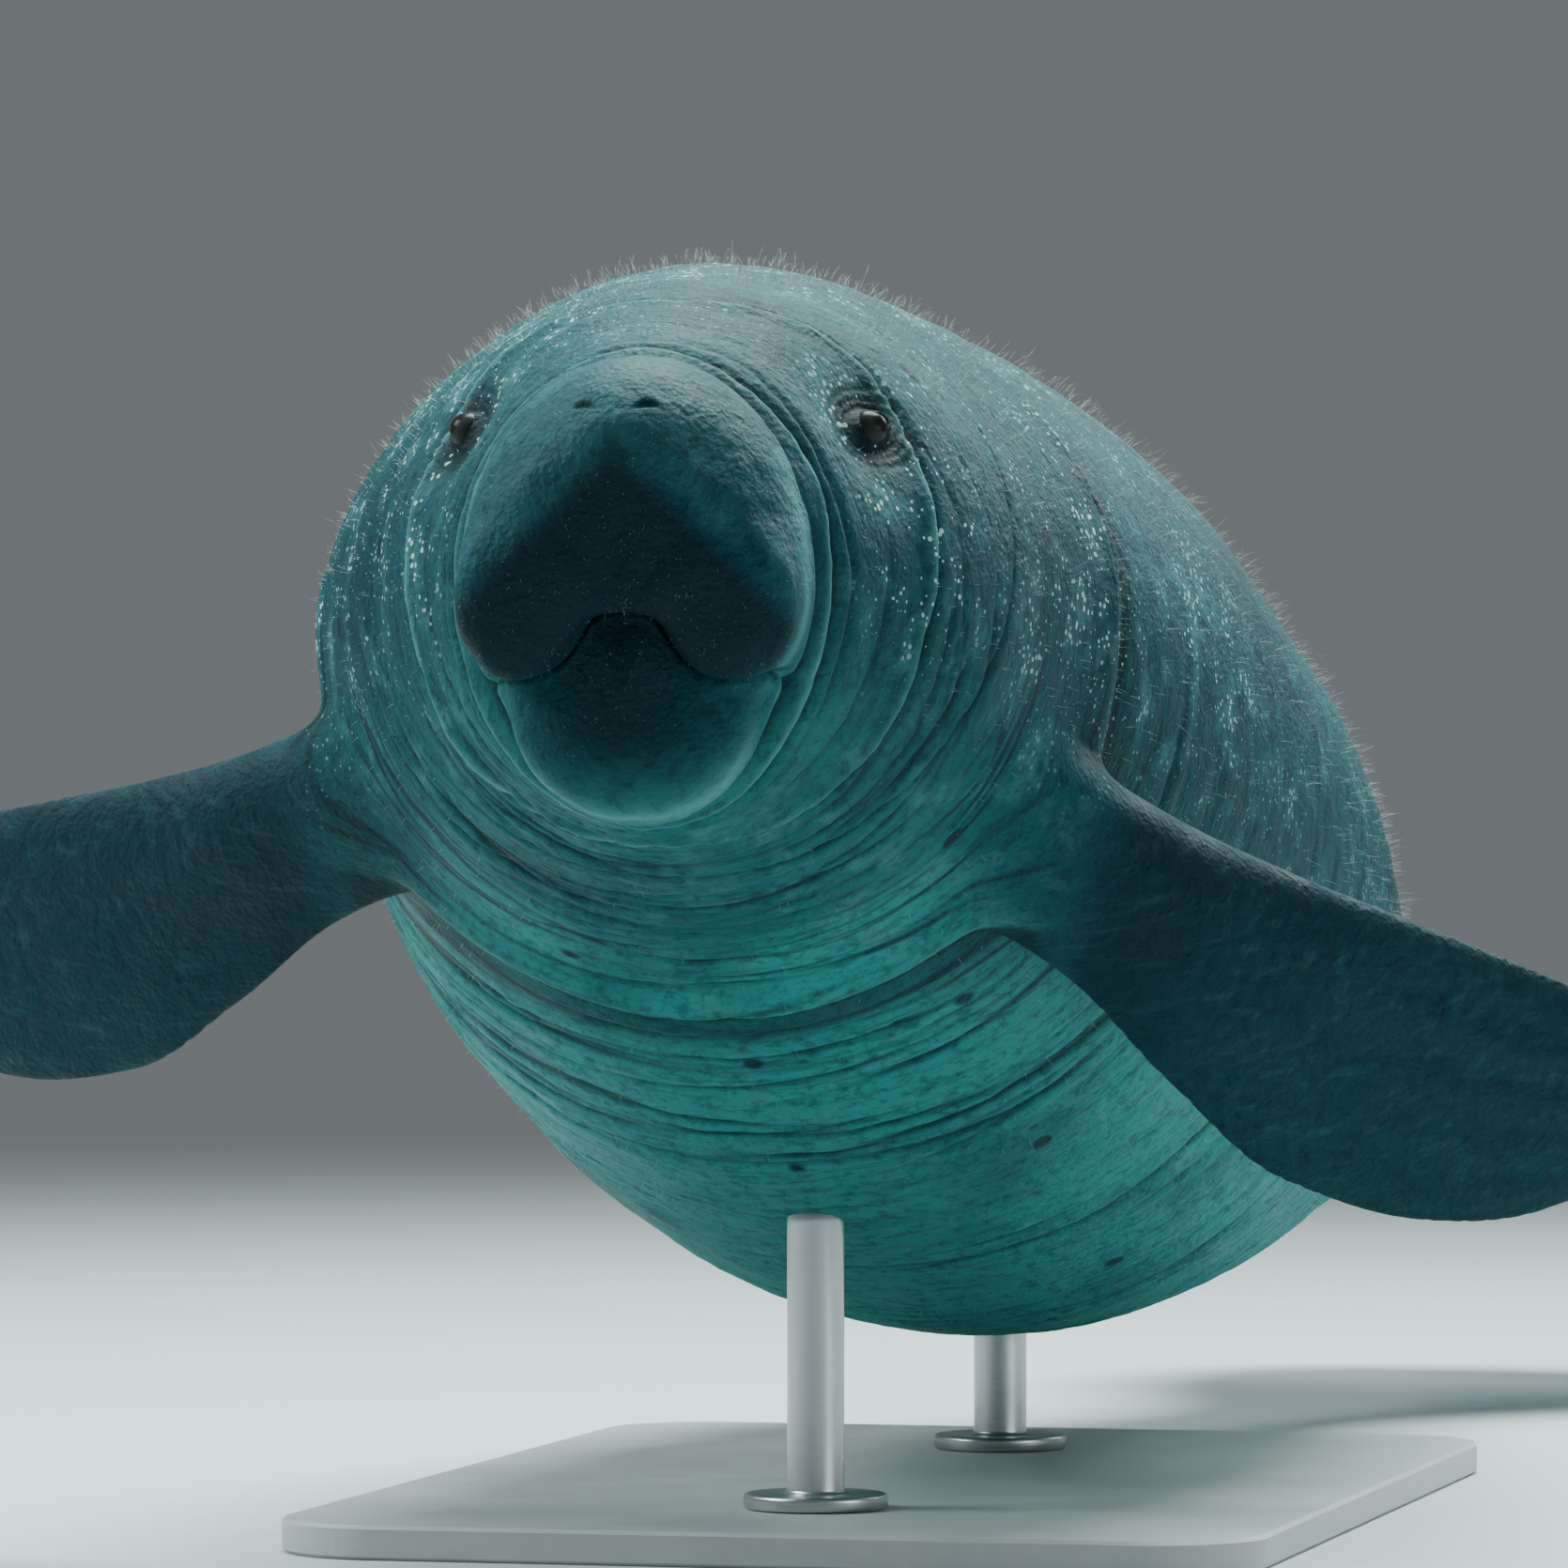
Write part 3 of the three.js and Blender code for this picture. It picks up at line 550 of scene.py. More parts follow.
def muzzle_lift(local):
    """Mouth, nostrils and the hollow of the upper lip, for points round the muzzle."""
    x = local[..., 0] - HEAD_TURNED
    forward = local[..., 1]
    z = local[..., 2]
    away = from_mouth(np.abs(x), z)
    shown = smoothstep(forward, *MOUTH_FADES)
    lift = -MOUTH_CREASE["depth"] * bell(away / MOUTH_CREASE["width"])
    lift -= np.where(away > 0, UPPER_LIP["curl"] * np.exp(-np.abs(away) / UPPER_LIP["over"]), 0)
    middle = 1 - smoothstep(np.abs(x), *LOWER_LIP_FADES)
    tuck = UPPER_LIP["curl"] + (LOWER_LIP["tuck"] - UPPER_LIP["curl"]) * middle
    lift -= np.where(away <= 0, tuck * bell(away / LOWER_LIP["over"]), 0)
    lift *= shown
    front = forward > 0
    lift -= front * NOSTRIL["depth"] * nostrils(x, z)
    hollow = bell(x / PHILTRUM["half"]) * bell((z - PHILTRUM["up"]) / PHILTRUM["tall"])
    return lift - front * PHILTRUM["depth"] * hollow


def hide_roughness(points, at):
    """Soft unevenness of the flesh, broader on the trunk."""
    def lumps(height, scale, seed):
        return height * lattice_noise(points, scale, seed)

    broad = lumps(*BROAD_LUMPS) * smoothstep(at, 0.15, 0.6)
    return broad + sum(lumps(*sizes) for sizes in FINE_LUMPS)


def stretched_rows(start, stretches):
    """Distances from a start over stretches that each have a count of rows and an end."""
    distances = [np.array([start])]
    for count, end in stretches:
        distances.append(np.linspace(start, end, count)[1:])
        start = end
    return np.concatenate(distances)


def turns(count):
    return np.arange(count) / count * 2 * math.pi


def body_rows():
    """Rows of the body's surface from the nose to the tail."""
    opened = np.linspace(NOSE_OPENED, 0, MUZZLE_ROWS)[:-1]
    head_at = np.linspace(LIPS_AT, HEAD_ENDS, HEAD_ROWS)
    trunk_at = stretched_rows(HEAD_ENDS, TRUNK_STRETCHES)[1:]
    blocks = (
        muzzle_surface(*np.meshgrid(opened, turns(HEAD_TURNS), indexing="ij")),
        body_surface(*np.meshgrid(head_at, turns(HEAD_TURNS), indexing="ij")),
        body_surface(*np.meshgrid(trunk_at, turns(TRUNK_TURNS), indexing="ij")),
    )
    return [row for block in blocks for row in block]


def body_surface(at, turn):
    """The hide with all its folds, for distances behind the lips' ring."""
    plain = on_body(at, turn)
    local = to_muzzle_frame(plain)
    lift = fold_shape(at, turn)[0] + wrinkle_lift(at, turn) + eyelid_lift(at, turn)
    face = local[..., 1] > -0.02
    lift[face] += muzzle_lift(local[face])
    lift += hide_roughness(plain, at) - SKIN_INSET
    return on_body(at, turn, lift) + SHIFT


def muzzle_surface(opened, turn):
    """The hide in front of the lips' ring."""
    ray, ring = muzzle_ray(opened, turn)
    radius = muzzle_radius(ray, ring, opened)
    local = ray * radius[..., None]
    at = LIPS_AT * (1 - opened / (math.pi / 2))
    lift = fold_shape(at, turn)[0] + muzzle_lift(local) + hide_roughness(local, at) - SKIN_INSET
    return from_muzzle_frame(ray * (radius + lift)[..., None]) + SHIFT


def flipper_frames(side, at, turn, sweep, droop, twist, lift, distances):
    """Centre, outward axis, chord and through direction at each distance."""
    _, back, side_axis, up = frame_at(at)
    turn = math.radians(turn) if side > 0 else math.pi - math.radians(turn)
    sweep, twist = math.radians(sweep), math.radians(twist)
    level = side_axis * side * math.cos(sweep) + back * math.sin(sweep)

    def axis_at(distance):
        down = np.radians(droop - lift * (distance / FLIPPER_LENGTH - FLIPPER_DROOP_MIDDLE))
        return np.cos(down)[..., None] * level - np.sin(down)[..., None] * up

    walk = np.linspace(0, FLIPPER_LENGTH, FLIPPER_STEPS + 1)
    strides = axis_at((walk[1:] + walk[:-1]) / 2) * np.diff(walk)[:, None]
    start = on_body(at, turn) - axis_at(np.zeros(())) * FLIPPER_BURIED
    path = start + np.concatenate([np.zeros((1, 3)), np.cumsum(strides, axis=0)])
    centre = np.stack([np.interp(distances, walk, path[:, k]) for k in range(3)], -1)
    axis = axis_at(distances)
    rearward = unit(back - axis * (axis @ back)[..., None])
    downward = np.cross(axis, rearward)
    downward *= -np.sign(downward @ up)[..., None]
    chord = rearward * math.cos(twist) + downward * math.sin(twist)
    return centre, axis, chord, np.cross(axis, chord)


def flipper_sizes(distances):
    """Half chord, half thickness and the chord's rearward offset at each distance."""
    chord, thickness, offset = (value_along(FLIPPER_TABLE, column, distances) for column in (1, 2, 3))
    return chord / 2, thickness / 2, offset


# Relief of the flippers: ripples across them, the fingers inside them, and the elbow
FLIPPER_SEEDS = {"left": 200, "right": 300}
RIPPLE = {"pitch": 520, "wander": 10.0, "depth": 0.0007}
FINGERS = {"count": 5, "depth": 0.0011}
ELBOW = {"at": 0.135, "long": 0.03, "ahead": 0.45, "wide": 0.5, "height": 0.0040}


def flipper_wrinkles(name, distance, angle):
    """Wrinkles across the flipper, with the swell of the fingers towards its end."""
    seed = FLIPPER_SEEDS[name]
    rearward = np.cos(angle)

    def uneven(stretch, scale, seed):
        return lattice_noise(np.stack([distance * stretch, rearward, np.sin(angle)], -1), scale, seed)

    ripple = np.sin(distance * RIPPLE["pitch"] + RIPPLE["wander"] * uneven(10, 1.3, seed))
    deep = RIPPLE["depth"] * (0.5 + uneven(14, 1.7, seed + 1)) * between(distance, 0.05, 0.09, 0.36, 0.41)
    fingers = FINGERS["depth"] * np.cos(FINGERS["count"] * np.pi * rearward)
    fingers *= between(distance, 0.20, 0.30, 0.34, 0.40)
    elbow = bell((distance - ELBOW["at"]) / ELBOW["long"]) * bell((rearward + ELBOW["ahead"]) / ELBOW["wide"])
    swell = (fingers + ELBOW["height"] * elbow) * np.abs(np.sin(angle))
    return swell - deep * np.clip(ripple, 0, 1) ** 2


def flipper_rows(name):
    """Rows of a flipper's surface from inside the shoulder to its tip."""
    along = stretched_rows(0.0, FLIPPER_STRETCHES)
    centre, _, chord, through = (part[:, None] for part in flipper_frames(*FLIPPER_POSES[name], along))
    distances, angle = np.meshgrid(along, turns(FLIPPER_TURNS), indexing="ij")
    half_chord, half_thick, offset = flipper_sizes(distances)
    raised = flipper_wrinkles(name, distances, angle)
    x = offset + (half_chord - SKIN_INSET + raised) * np.cos(angle)
    z = (half_thick - FLIPPER_INSET + raised) * np.sin(angle) * (1 - FLIPPER_TAPER * np.cos(angle))
    return list(centre + chord * x[..., None] + through * z[..., None] + SHIFT)


def mesh_over_rows(name, rows):
    """A closed mesh over rows of points; a row may have half as many points as the one before."""
    points = list(rows)
    triangles = []
    quads = []
    starts = np.cumsum([0] + [len(row) for row in rows])
    for k in range(len(rows) - 1):
        here, there = len(rows[k]), len(rows[k + 1])
        i = np.arange(there)
        far, far_after = starts[k + 1] + i, starts[k + 1] + (i + 1) % there
        if here == there:
            quads.append(np.stack([starts[k] + i, starts[k] + (i + 1) % here, far_after, far], 1))
            continue
        a, b, c = (starts[k] + (2 * i + step) % here for step in range(3))
        for corners in ((a, b, far), (b, far_after, far), (b, c, far_after)):
            triangles.append(np.stack(corners, 1))
    for k, middle in ((0, starts[-1]), (len(rows) - 1, starts[-1] + 1)):
        i = np.arange(len(rows[k]))
        rim = (starts[k] + i, starts[k] + (i + 1) % len(i))
        points.append(rows[k].mean(axis=0)[None])
        fan = (np.full_like(i, middle), *(rim if k else rim[::-1]))
        triangles.append(np.stack(fan, 1))
    points = np.concatenate(points)
    quads = np.concatenate(quads)
    triangles = np.concatenate(triangles)
    if enclosed_volume(points, quads, triangles) < 0:
        quads, triangles = quads[:, ::-1], triangles[:, ::-1]
    return new_mesh(name, points, quads, triangles)


def enclosed_volume(points, quads, triangles):
    """Volume within a closed mesh, negative where its faces look inwards."""
    fans = np.concatenate([quads[:, [0, 1, 2]], quads[:, [0, 2, 3]], triangles])
    a, b, c = (points[fans[:, k]] for k in range(3))
    return np.einsum("ij,ij->i", a, np.cross(b, c)).sum() / 6


def new_mesh(name, points, quads, triangles):
    """A smooth-shaded object made of quads and triangles."""
    mesh = bpy.data.meshes.new(name)
    mesh.from_pydata(points.tolist(), [], quads.tolist() + triangles.tolist(), shade_flat=False)
    mesh.validate()
    thing = bpy.data.objects.new(name, mesh)
    bpy.context.scene.collection.objects.link(thing)
    return thing


def join_meshes(base, others):
    """Makes a closed mesh the union of itself and others."""
    for other in others:
        union = base.modifiers.new("union", "BOOLEAN")
        union.operation = "UNION"
        union.solver = "MANIFOLD"
        union.object = other
    graph = bpy.context.evaluated_depsgraph_get()
    mesh = bpy.data.meshes.new_from_object(base.evaluated_get(graph))
    base.modifiers.clear()
    base.data = mesh
    for other in others:
        bpy.data.objects.remove(other)


# How many points are measured at a time, and how close to a flipper a point has to be
CHUNK = 20000
FLIPPER_PLACES = 60
FLIPPER_MIDDLE = 24
FLIPPER_REACH = 0.32
# How the flippers are blended into the body: reach, rounds of smoothing and their strength
JUNCTION_REACH = 0.024
JUNCTION_STRETCH = (0.25, 0.62)
JUNCTION_ROUNDS = 70
JUNCTION_LEAST, JUNCTION_GAIN, JUNCTION_MOST = 0.02, 1.5, 0.9


def points_of(mesh):
    points = np.empty(len(mesh.vertices) * 3, np.float32)
    mesh.vertices.foreach_get("co", points)
    return points.reshape(-1, 3).astype(float)


def spine_places(points):
    """Distance along the spine, sideways and up of it, for points in the model's frame."""
    points = points - SHIFT
    nearest = np.empty(len(points), int)
    for k in range(0, len(points), CHUNK):
        block = points[k:k + CHUNK]
        apart = (block * block).sum(1)[:, None] - 2 * block @ SPINE_CENTRE.T + (SPINE_CENTRE ** 2).sum(1)
        nearest[k:k + CHUNK] = apart.argmin(1)
    at = SPINE_AT[nearest]
    for _ in range(2):
        centre, back, side, up = frame_at(at)
        at = at + ((points - centre) * back).sum(-1)
    offset = points - centre
    return at, (offset * side).sum(-1), (offset * up).sum(-1)


def flipper_nearness(points):
    """How close each point is to a flipper's surface, in metres, negative inside."""
    nearest = np.full(len(points), 1.0)
    distances = np.linspace(0, FLIPPER_LENGTH, FLIPPER_PLACES)
    half_chord, half_thick, middle = flipper_sizes(distances)
    for pose in FLIPPER_POSES.values():
        centre, _, chord, through = flipper_frames(*pose, distances)
        centre = centre + SHIFT
        close = np.flatnonzero(np.linalg.norm(points - centre[FLIPPER_MIDDLE], axis=1) < FLIPPER_REACH)
        for k in range(0, len(close), CHUNK):
            chosen = close[k:k + CHUNK]
            offset = points[chosen][:, None] - centre
            i = np.linalg.norm(offset, axis=-1).argmin(1)
            near = offset[np.arange(len(chosen)), i]
            x = ((near * chord[i]).sum(-1) - middle[i]) / half_chord[i]
            z = (near * through[i]).sum(-1) / half_thick[i]
            nearest[chosen] = np.minimum(nearest[chosen], (np.hypot(x, z) - 1) * half_thick[i])
    return nearest


def smooth_junctions(mesh):
    """Blends each flipper into the body where the two meet."""
    points = points_of(mesh)
    at, x, z = spine_places(points)
    _, from_body = turn_of(at, x, z)
    near = (at > JUNCTION_STRETCH[0]) & (at < JUNCTION_STRETCH[1])
    from_flipper = np.full(len(points), 1.0)
    from_flipper[near] = flipper_nearness(points[near])
    weight = bell(from_body / JUNCTION_REACH) * bell(from_flipper / JUNCTION_REACH)
    moving = weight > JUNCTION_LEAST
    edges = np.empty(len(mesh.edges) * 2, np.int32)
    mesh.edges.foreach_get("vertices", edges)
    edges = edges.reshape(-1, 2)
    edges = edges[moving[edges].any(1)]
    ends = np.concatenate([edges, edges[:, ::-1]])
    ends = ends[moving[ends[:, 0]]]
    count = np.maximum(np.bincount(ends[:, 0], minlength=len(points)), 1)[moving]
    pull = np.minimum(weight[moving] * JUNCTION_GAIN, JUNCTION_MOST)[:, None]
    for _ in range(JUNCTION_ROUNDS):
        sums = [np.bincount(ends[:, 0], points[ends[:, 1], k], minlength=len(points)) for k in range(3)]
        mean = np.stack(sums, 1)[moving] / count[:, None]
        points[moving] += (mean - points[moving]) * pull
    mesh.vertices.foreach_set("co", points.astype(np.float32).ravel())
    mesh.update()


def store(mesh, name, values):
    """Keeps a number or a vector for each point of a mesh."""
    kind, key = ("FLOAT", "value") if values.ndim == 1 else ("FLOAT_VECTOR", "vector")
    attribute = mesh.attributes.new(name, kind, "POINT")
    attribute.data.foreach_set(key, values.astype(np.float32).ravel())


BACK_SOFTNESS = 0.05
# Painted shade: how dark it is round the eyes, on the face and on the chin
EYE_PAINTED_SHADE, EYE_PAINTED_SHADE_FADES = 0.95, (0.011, 0.040)
FACE_PAINTED_SHADE, CHIN_PAINTED_SHADE, NOSTRIL_PAINTED_SHADE = 0.95, 0.92, 0.9
# The painted shade of the face ends under two slopes like a roof's, this high and this steep
ROOF = {"top": 0.062, "slope": 0.95, "fades": (-0.010, 0.016)}
# Bands of painted shade behind the head, in the armpits and on the sides of the neck: place
# and half length, how dark, then the middle and half height of each as shares of the body's height
PAINTED_SHADE_BANDS = {
    "armpits": (0.395, 0.050, 0.60, -0.45, 0.34),
    "neck sides": (0.290, 0.080, 0.40, 0.10, 0.45),
}
# Painted shade under the chest roll: place, half length and how dark
CHEST_SHADE_BAND = {"at": 0.436, "half": 0.020, "dark": 0.70}
# Painted highlight along the rim of the chin and of the muzzle's sides
RIM_HIGHLIGHT = {"forward": 0.018, "half": 0.010, "chin": 0.62, "sides": 0.50, "up to": 0.06}
# Depth of a wrinkle at which its painted shade is full
CREASE_DEPTH = 0.003


def painted_shade(points, at, turn):
    """Painted shade: round the eyes, on the face and chin, under the chest roll, in bands behind the head,
    and in the nostrils.
    """
    dark = np.zeros(len(points))

    def darken(patch):
        np.maximum(dark, patch, out=dark)

    for eye_turn in EYE_TURNS.values():
        darken(EYE_PAINTED_SHADE * (1 - smoothstep(np.hypot(*from_eye(at, turn, eye_turn)), *EYE_PAINTED_SHADE_FADES)))
    x, forward, z = to_muzzle_frame(points - SHIFT).T
    x = np.abs(x - HEAD_TURNED)
    under_roof = smoothstep(ROOF["top"] - z - ROOF["slope"] * x, *ROOF["fades"])
    darken(FACE_PAINTED_SHADE * smoothstep(forward, 0.020, 0.045) * under_roof * smoothstep(z, -0.085, -0.045))
    chin = bell(x / 0.060) * smoothstep(-z, 0.016, 0.024) * smoothstep(z, -0.116, -0.070)
    darken(CHIN_PAINTED_SHADE * smoothstep(forward, 0.000, 0.025) * chin)
    rise = np.sin(turn)
    chest = bell((at - CHEST_SHADE_BAND["at"]) / CHEST_SHADE_BAND["half"])
    darken(CHEST_SHADE_BAND["dark"] * chest * smoothstep(-rise, 0.0, 0.5))
    for place, half, strength, middle, spread in PAINTED_SHADE_BANDS.values():
        darken(strength * bell((at - place) / half) * bell((rise - middle) / spread))
    darken(NOSTRIL_PAINTED_SHADE * (forward > 0) * nostrils(x, z))
    return dark


def painted_rim_highlight(points):
    """Painted highlight along the rim of the chin and of the muzzle's sides."""
    x, forward, z = to_muzzle_frame(points - SHIFT).T
    chin = RIM_HIGHLIGHT["chin"] * smoothstep(-z, 0.060, 0.095)
    sides = RIM_HIGHLIGHT["sides"] * smoothstep(np.abs(x), 0.055, 0.080) * (z < RIM_HIGHLIGHT["up to"])
    return bell((forward - RIM_HIGHLIGHT["forward"]) / RIM_HIGHLIGHT["half"]) * (chin + sides)


def mark_hide(mesh):
    """Stores what the hide's material needs at each point: its straightened place, its marks, and its painted
    shade and highlights.
    """
    points = points_of(mesh)
    at, x, z = spine_places(points)
    turn, outside = turn_of(at, x, z)
    limb = smoothstep(outside, 0.010, 0.045) * ((at > 0.25) & (at < 0.75))
    body = 1 - limb
    _, groove_shade, painted_highlights = fold_shape(at, turn)
    groove_shade -= wrinkle_lift(at, turn) / CREASE_DEPTH
    painted_highlights += painted_rim_highlight(points)
    neck = 1 - smoothstep(at, 0.27, 0.36)
    armpits = (1 - smoothstep(at, 0.43, 0.52)) * smoothstep(np.sin(turn), -0.90, -0.62)
    behind_muzzle = smoothstep(at, 0.10, 0.15)
    marks = {
        "hide": np.stack([at, x, z], 1),
        # crease: painted shade in the grooves of folds and wrinkles
        "crease": np.clip(groove_shade, 0, 1) * body,
        "painted_highlight": np.clip(painted_highlights, 0, 1) * body,
        "limb": limb,
        "grain": behind_muzzle * body,
        "back": z / np.sqrt(x * x + z * z + BACK_SOFTNESS ** 2),
        "painted_shade": painted_shade(points, at, turn) * body,
        "throat": np.maximum(neck, armpits),
        "speckled": behind_muzzle * body * (1 - 0.7 * smoothstep(at, 0.45, 0.80)),
    }
    for name, values in marks.items():
        store(mesh, name, values)


def make_skin():
    skin = mesh_over_rows("skin", body_rows())
    join_meshes(skin, [mesh_over_rows(f"flipper_{name}", flipper_rows(name)) for name in FLIPPER_POSES])
    smooth_junctions(skin.data)
    mark_hide(skin.data)
    skin.data.shade_smooth()
    skin.data.materials.clear()
    skin.data.materials.append(skin_material())
    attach(skin, "root")
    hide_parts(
        "muzzle", "lower_jaw", "head", "neck", "chest", "belly", "tail_stock", "tail_paddle",
        "flipper_left_arm", "flipper_left_paddle", "flipper_right_arm", "flipper_right_paddle",
    )


# Hairs

HAIR_SIDES = 3
# Places of a hair's rings as shares of its length, and how it thins and bends over
HAIR_RINGS = (0.0, 0.35, 0.70)
HAIR_THINS = 0.75
HAIR_BENDS, HAIR_CURLS = 0.8, 1.8
HAIR_BURIED = 0.0006
BAKE_PATCH = 0.0015
# Coats of hair: count before thinning, stretch of the body, length and radius
COATS = {
    "hairs_head": (3400, 0.125, 0.42, 0.0085, 0.00010),
    "hairs_trunk": (7600, 0.42, 1.30, 0.0090, 0.00011),
    "hairs_tail": (3200, 1.30, 2.05, 0.0080, 0.00010),
}
HAIR_STEPS, WIDTH_STEPS = 4000, 200
# How hairs vary: lean to the tail, spread to the sides, and length
HAIR_LEANS, HAIR_SPREAD, HAIR_LENGTHS = (0.4, 1.7), 0.30, (0.5, 1.25)
CLEAR_OF_EYES = 0.016
BRISTLES = 700
BRISTLE_LENGTHS = (0.0010, 0.0026)
BRISTLE_RADIUS = 0.00012
BRISTLE_MAP_CENTRE, BRISTLE_MAP_RADIUS = 0.80, 0.09


def hair_triangles():
    """The triangles of one closed hair, whose last point is its tip."""
    triangles = [(0, 2, 1)]
    last = (len(HAIR_RINGS) - 1) * HAIR_SIDES
    for j in range(HAIR_SIDES):
        after = (j + 1) % HAIR_SIDES
        for low in range(0, last, HAIR_SIDES):
            a, b = low + j, low + after
            triangles += [(a, b, b + HAIR_SIDES), (a, b + HAIR_SIDES, a + HAIR_SIDES)]
        triangles.append((last + j, last + after, last + HAIR_SIDES))
    return np.array(triangles)


def hair_mesh(name, roots, normals, lean, lengths, radius, places, rng):
    """Joined tapering hairs, each closed, with a small patch of the bake map at its root."""
    sideways = unit(np.cross(normals, lean))
    forward = np.cross(normals, sideways)
    spin = rng.uniform(0, 2 * math.pi, len(roots))

    def centre_at(share):
        bend = lean * share ** HAIR_CURLS * HAIR_BENDS
        return roots + (normals * share + bend) * lengths[:, None]

    points = []
    patch = []
    for share in HAIR_RINGS:
        for angle in turns(HAIR_SIDES):
            turned = (spin + angle)[:, None]
            around = np.cos(turned) * sideways + np.sin(turned) * forward
            points.append(centre_at(share) + around * radius * (1 - HAIR_THINS * share))
            patch.append(np.array([np.cos(angle), np.sin(angle)]) * BAKE_PATCH * (1 - share))
    points.append(centre_at(1.0))
    patch.append(np.zeros(2))
    triangles = np.arange(len(roots))[:, None, None] * len(points) + hair_triangles()
    points = np.stack(points, 1).reshape(-1, 3)
    thing = new_mesh(name, points, np.empty((0, 4), int), triangles.reshape(-1, 3))
    uv = (places[:, None] + np.array(patch)).reshape(-1, 2)
    loops = np.empty(len(thing.data.loops), np.int32)
    thing.data.loops.foreach_get("vertex_index", loops)
    layer = thing.data.uv_layers.new(name="OFBake")
    layer.data.foreach_set("uv", uv[loops].astype(np.float32).ravel())
    return thing


def rooted_on(surface, a, b, step_a, step_b, inside):
    """Points of a surface and its normals by small steps, away from points inside it."""
    here = surface(a, b)
    normal = unit(np.cross(surface(a, b + step_b) - here, surface(a + step_a, b) - here))
    outward = np.sign((normal * (here - inside)).sum(-1))
    return here, normal * outward[:, None]


def grow_hairs(name, count, start, end, length, radius, rng):
    """Sparse curved hairs over a stretch of the body."""
    places = np.linspace(start, end, HAIR_STEPS)
    rough_places = np.linspace(start, end, WIDTH_STEPS)
    density = np.interp(places, rough_places, value_along(GIRTH_TABLE, 1, rough_places))
    at = rng.choice(places, count, p=density / density.sum())
    at = at + rng.uniform(-0.5, 0.5, count) * (end - start) / HAIR_STEPS
    turn = rng.uniform(-math.pi, math.pi, count)
    centre, back, side, up = frame_at(at)
    roots, normals = rooted_on(body_surface, at, turn, 0.002, 0.006, centre + SHIFT)
    lean = back * rng.uniform(*HAIR_LEANS, count)[:, None]
    for direction in (side, up):
        lean = lean + direction * rng.normal(0, HAIR_SPREAD, count)[:, None]
    lengths = length * rng.uniform(*HAIR_LENGTHS, count) * (0.75 + 0.35 * np.sin(turn))
    lengths *= 0.45 + 0.55 * smoothstep(at, 0.13, 0.36)
    on_map = np.stack([0.02 + 0.72 * at / BODY_LENGTH, 0.5 + 0.48 * turn / math.pi], 1)
    from_eyes = np.minimum(*(np.hypot(*from_eye(at, turn, eye_turn)) for eye_turn in EYE_TURNS.values()))
    keep = (from_eyes > CLEAR_OF_EYES) & (rng.uniform(0, 1, count) < 0.55 + 0.45 * np.sin(turn))
    buried = roots - normals * HAIR_BURIED
    return hair_mesh(name, buried[keep], normals[keep], lean[keep], lengths[keep], radius, on_map[keep], rng)


def grow_bristles(name, count, rng):
    """Short stiff bristles over the front of the muzzle."""
    opened = np.arcsin(rng.uniform(0.40, 0.995, count))
    turn = rng.uniform(-math.pi, math.pi, count)
    middle = from_muzzle_frame(np.zeros(3)) + SHIFT
    roots, normals = rooted_on(muzzle_surface, opened, turn, 0.02, 0.02, middle)
    lean = rng.normal(0, 0.35, (count, 3)) - np.array([0, 0, 0.25])
    lengths = rng.uniform(*BRISTLE_LENGTHS, count)
    seen_from_front = np.stack([np.cos(turn), np.sin(turn)], 1) * np.cos(opened)[:, None]
    on_map = BRISTLE_MAP_CENTRE + BRISTLE_MAP_RADIUS * seen_from_front
    buried = roots - normals * HAIR_BURIED
    return hair_mesh(name, buried, normals, lean, lengths, BRISTLE_RADIUS, on_map, rng)


def make_hairs():
    rng = np.random.default_rng(SEED + 1)
    coats = [grow_hairs(name, *values, rng) for name, values in COATS.items()]
    coats.append(grow_bristles("bristles_muzzle", BRISTLES, rng))
    material = hair_material()
    for coat in coats:
        coat.data.materials.append(material)
        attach(coat, "root")


# Materials

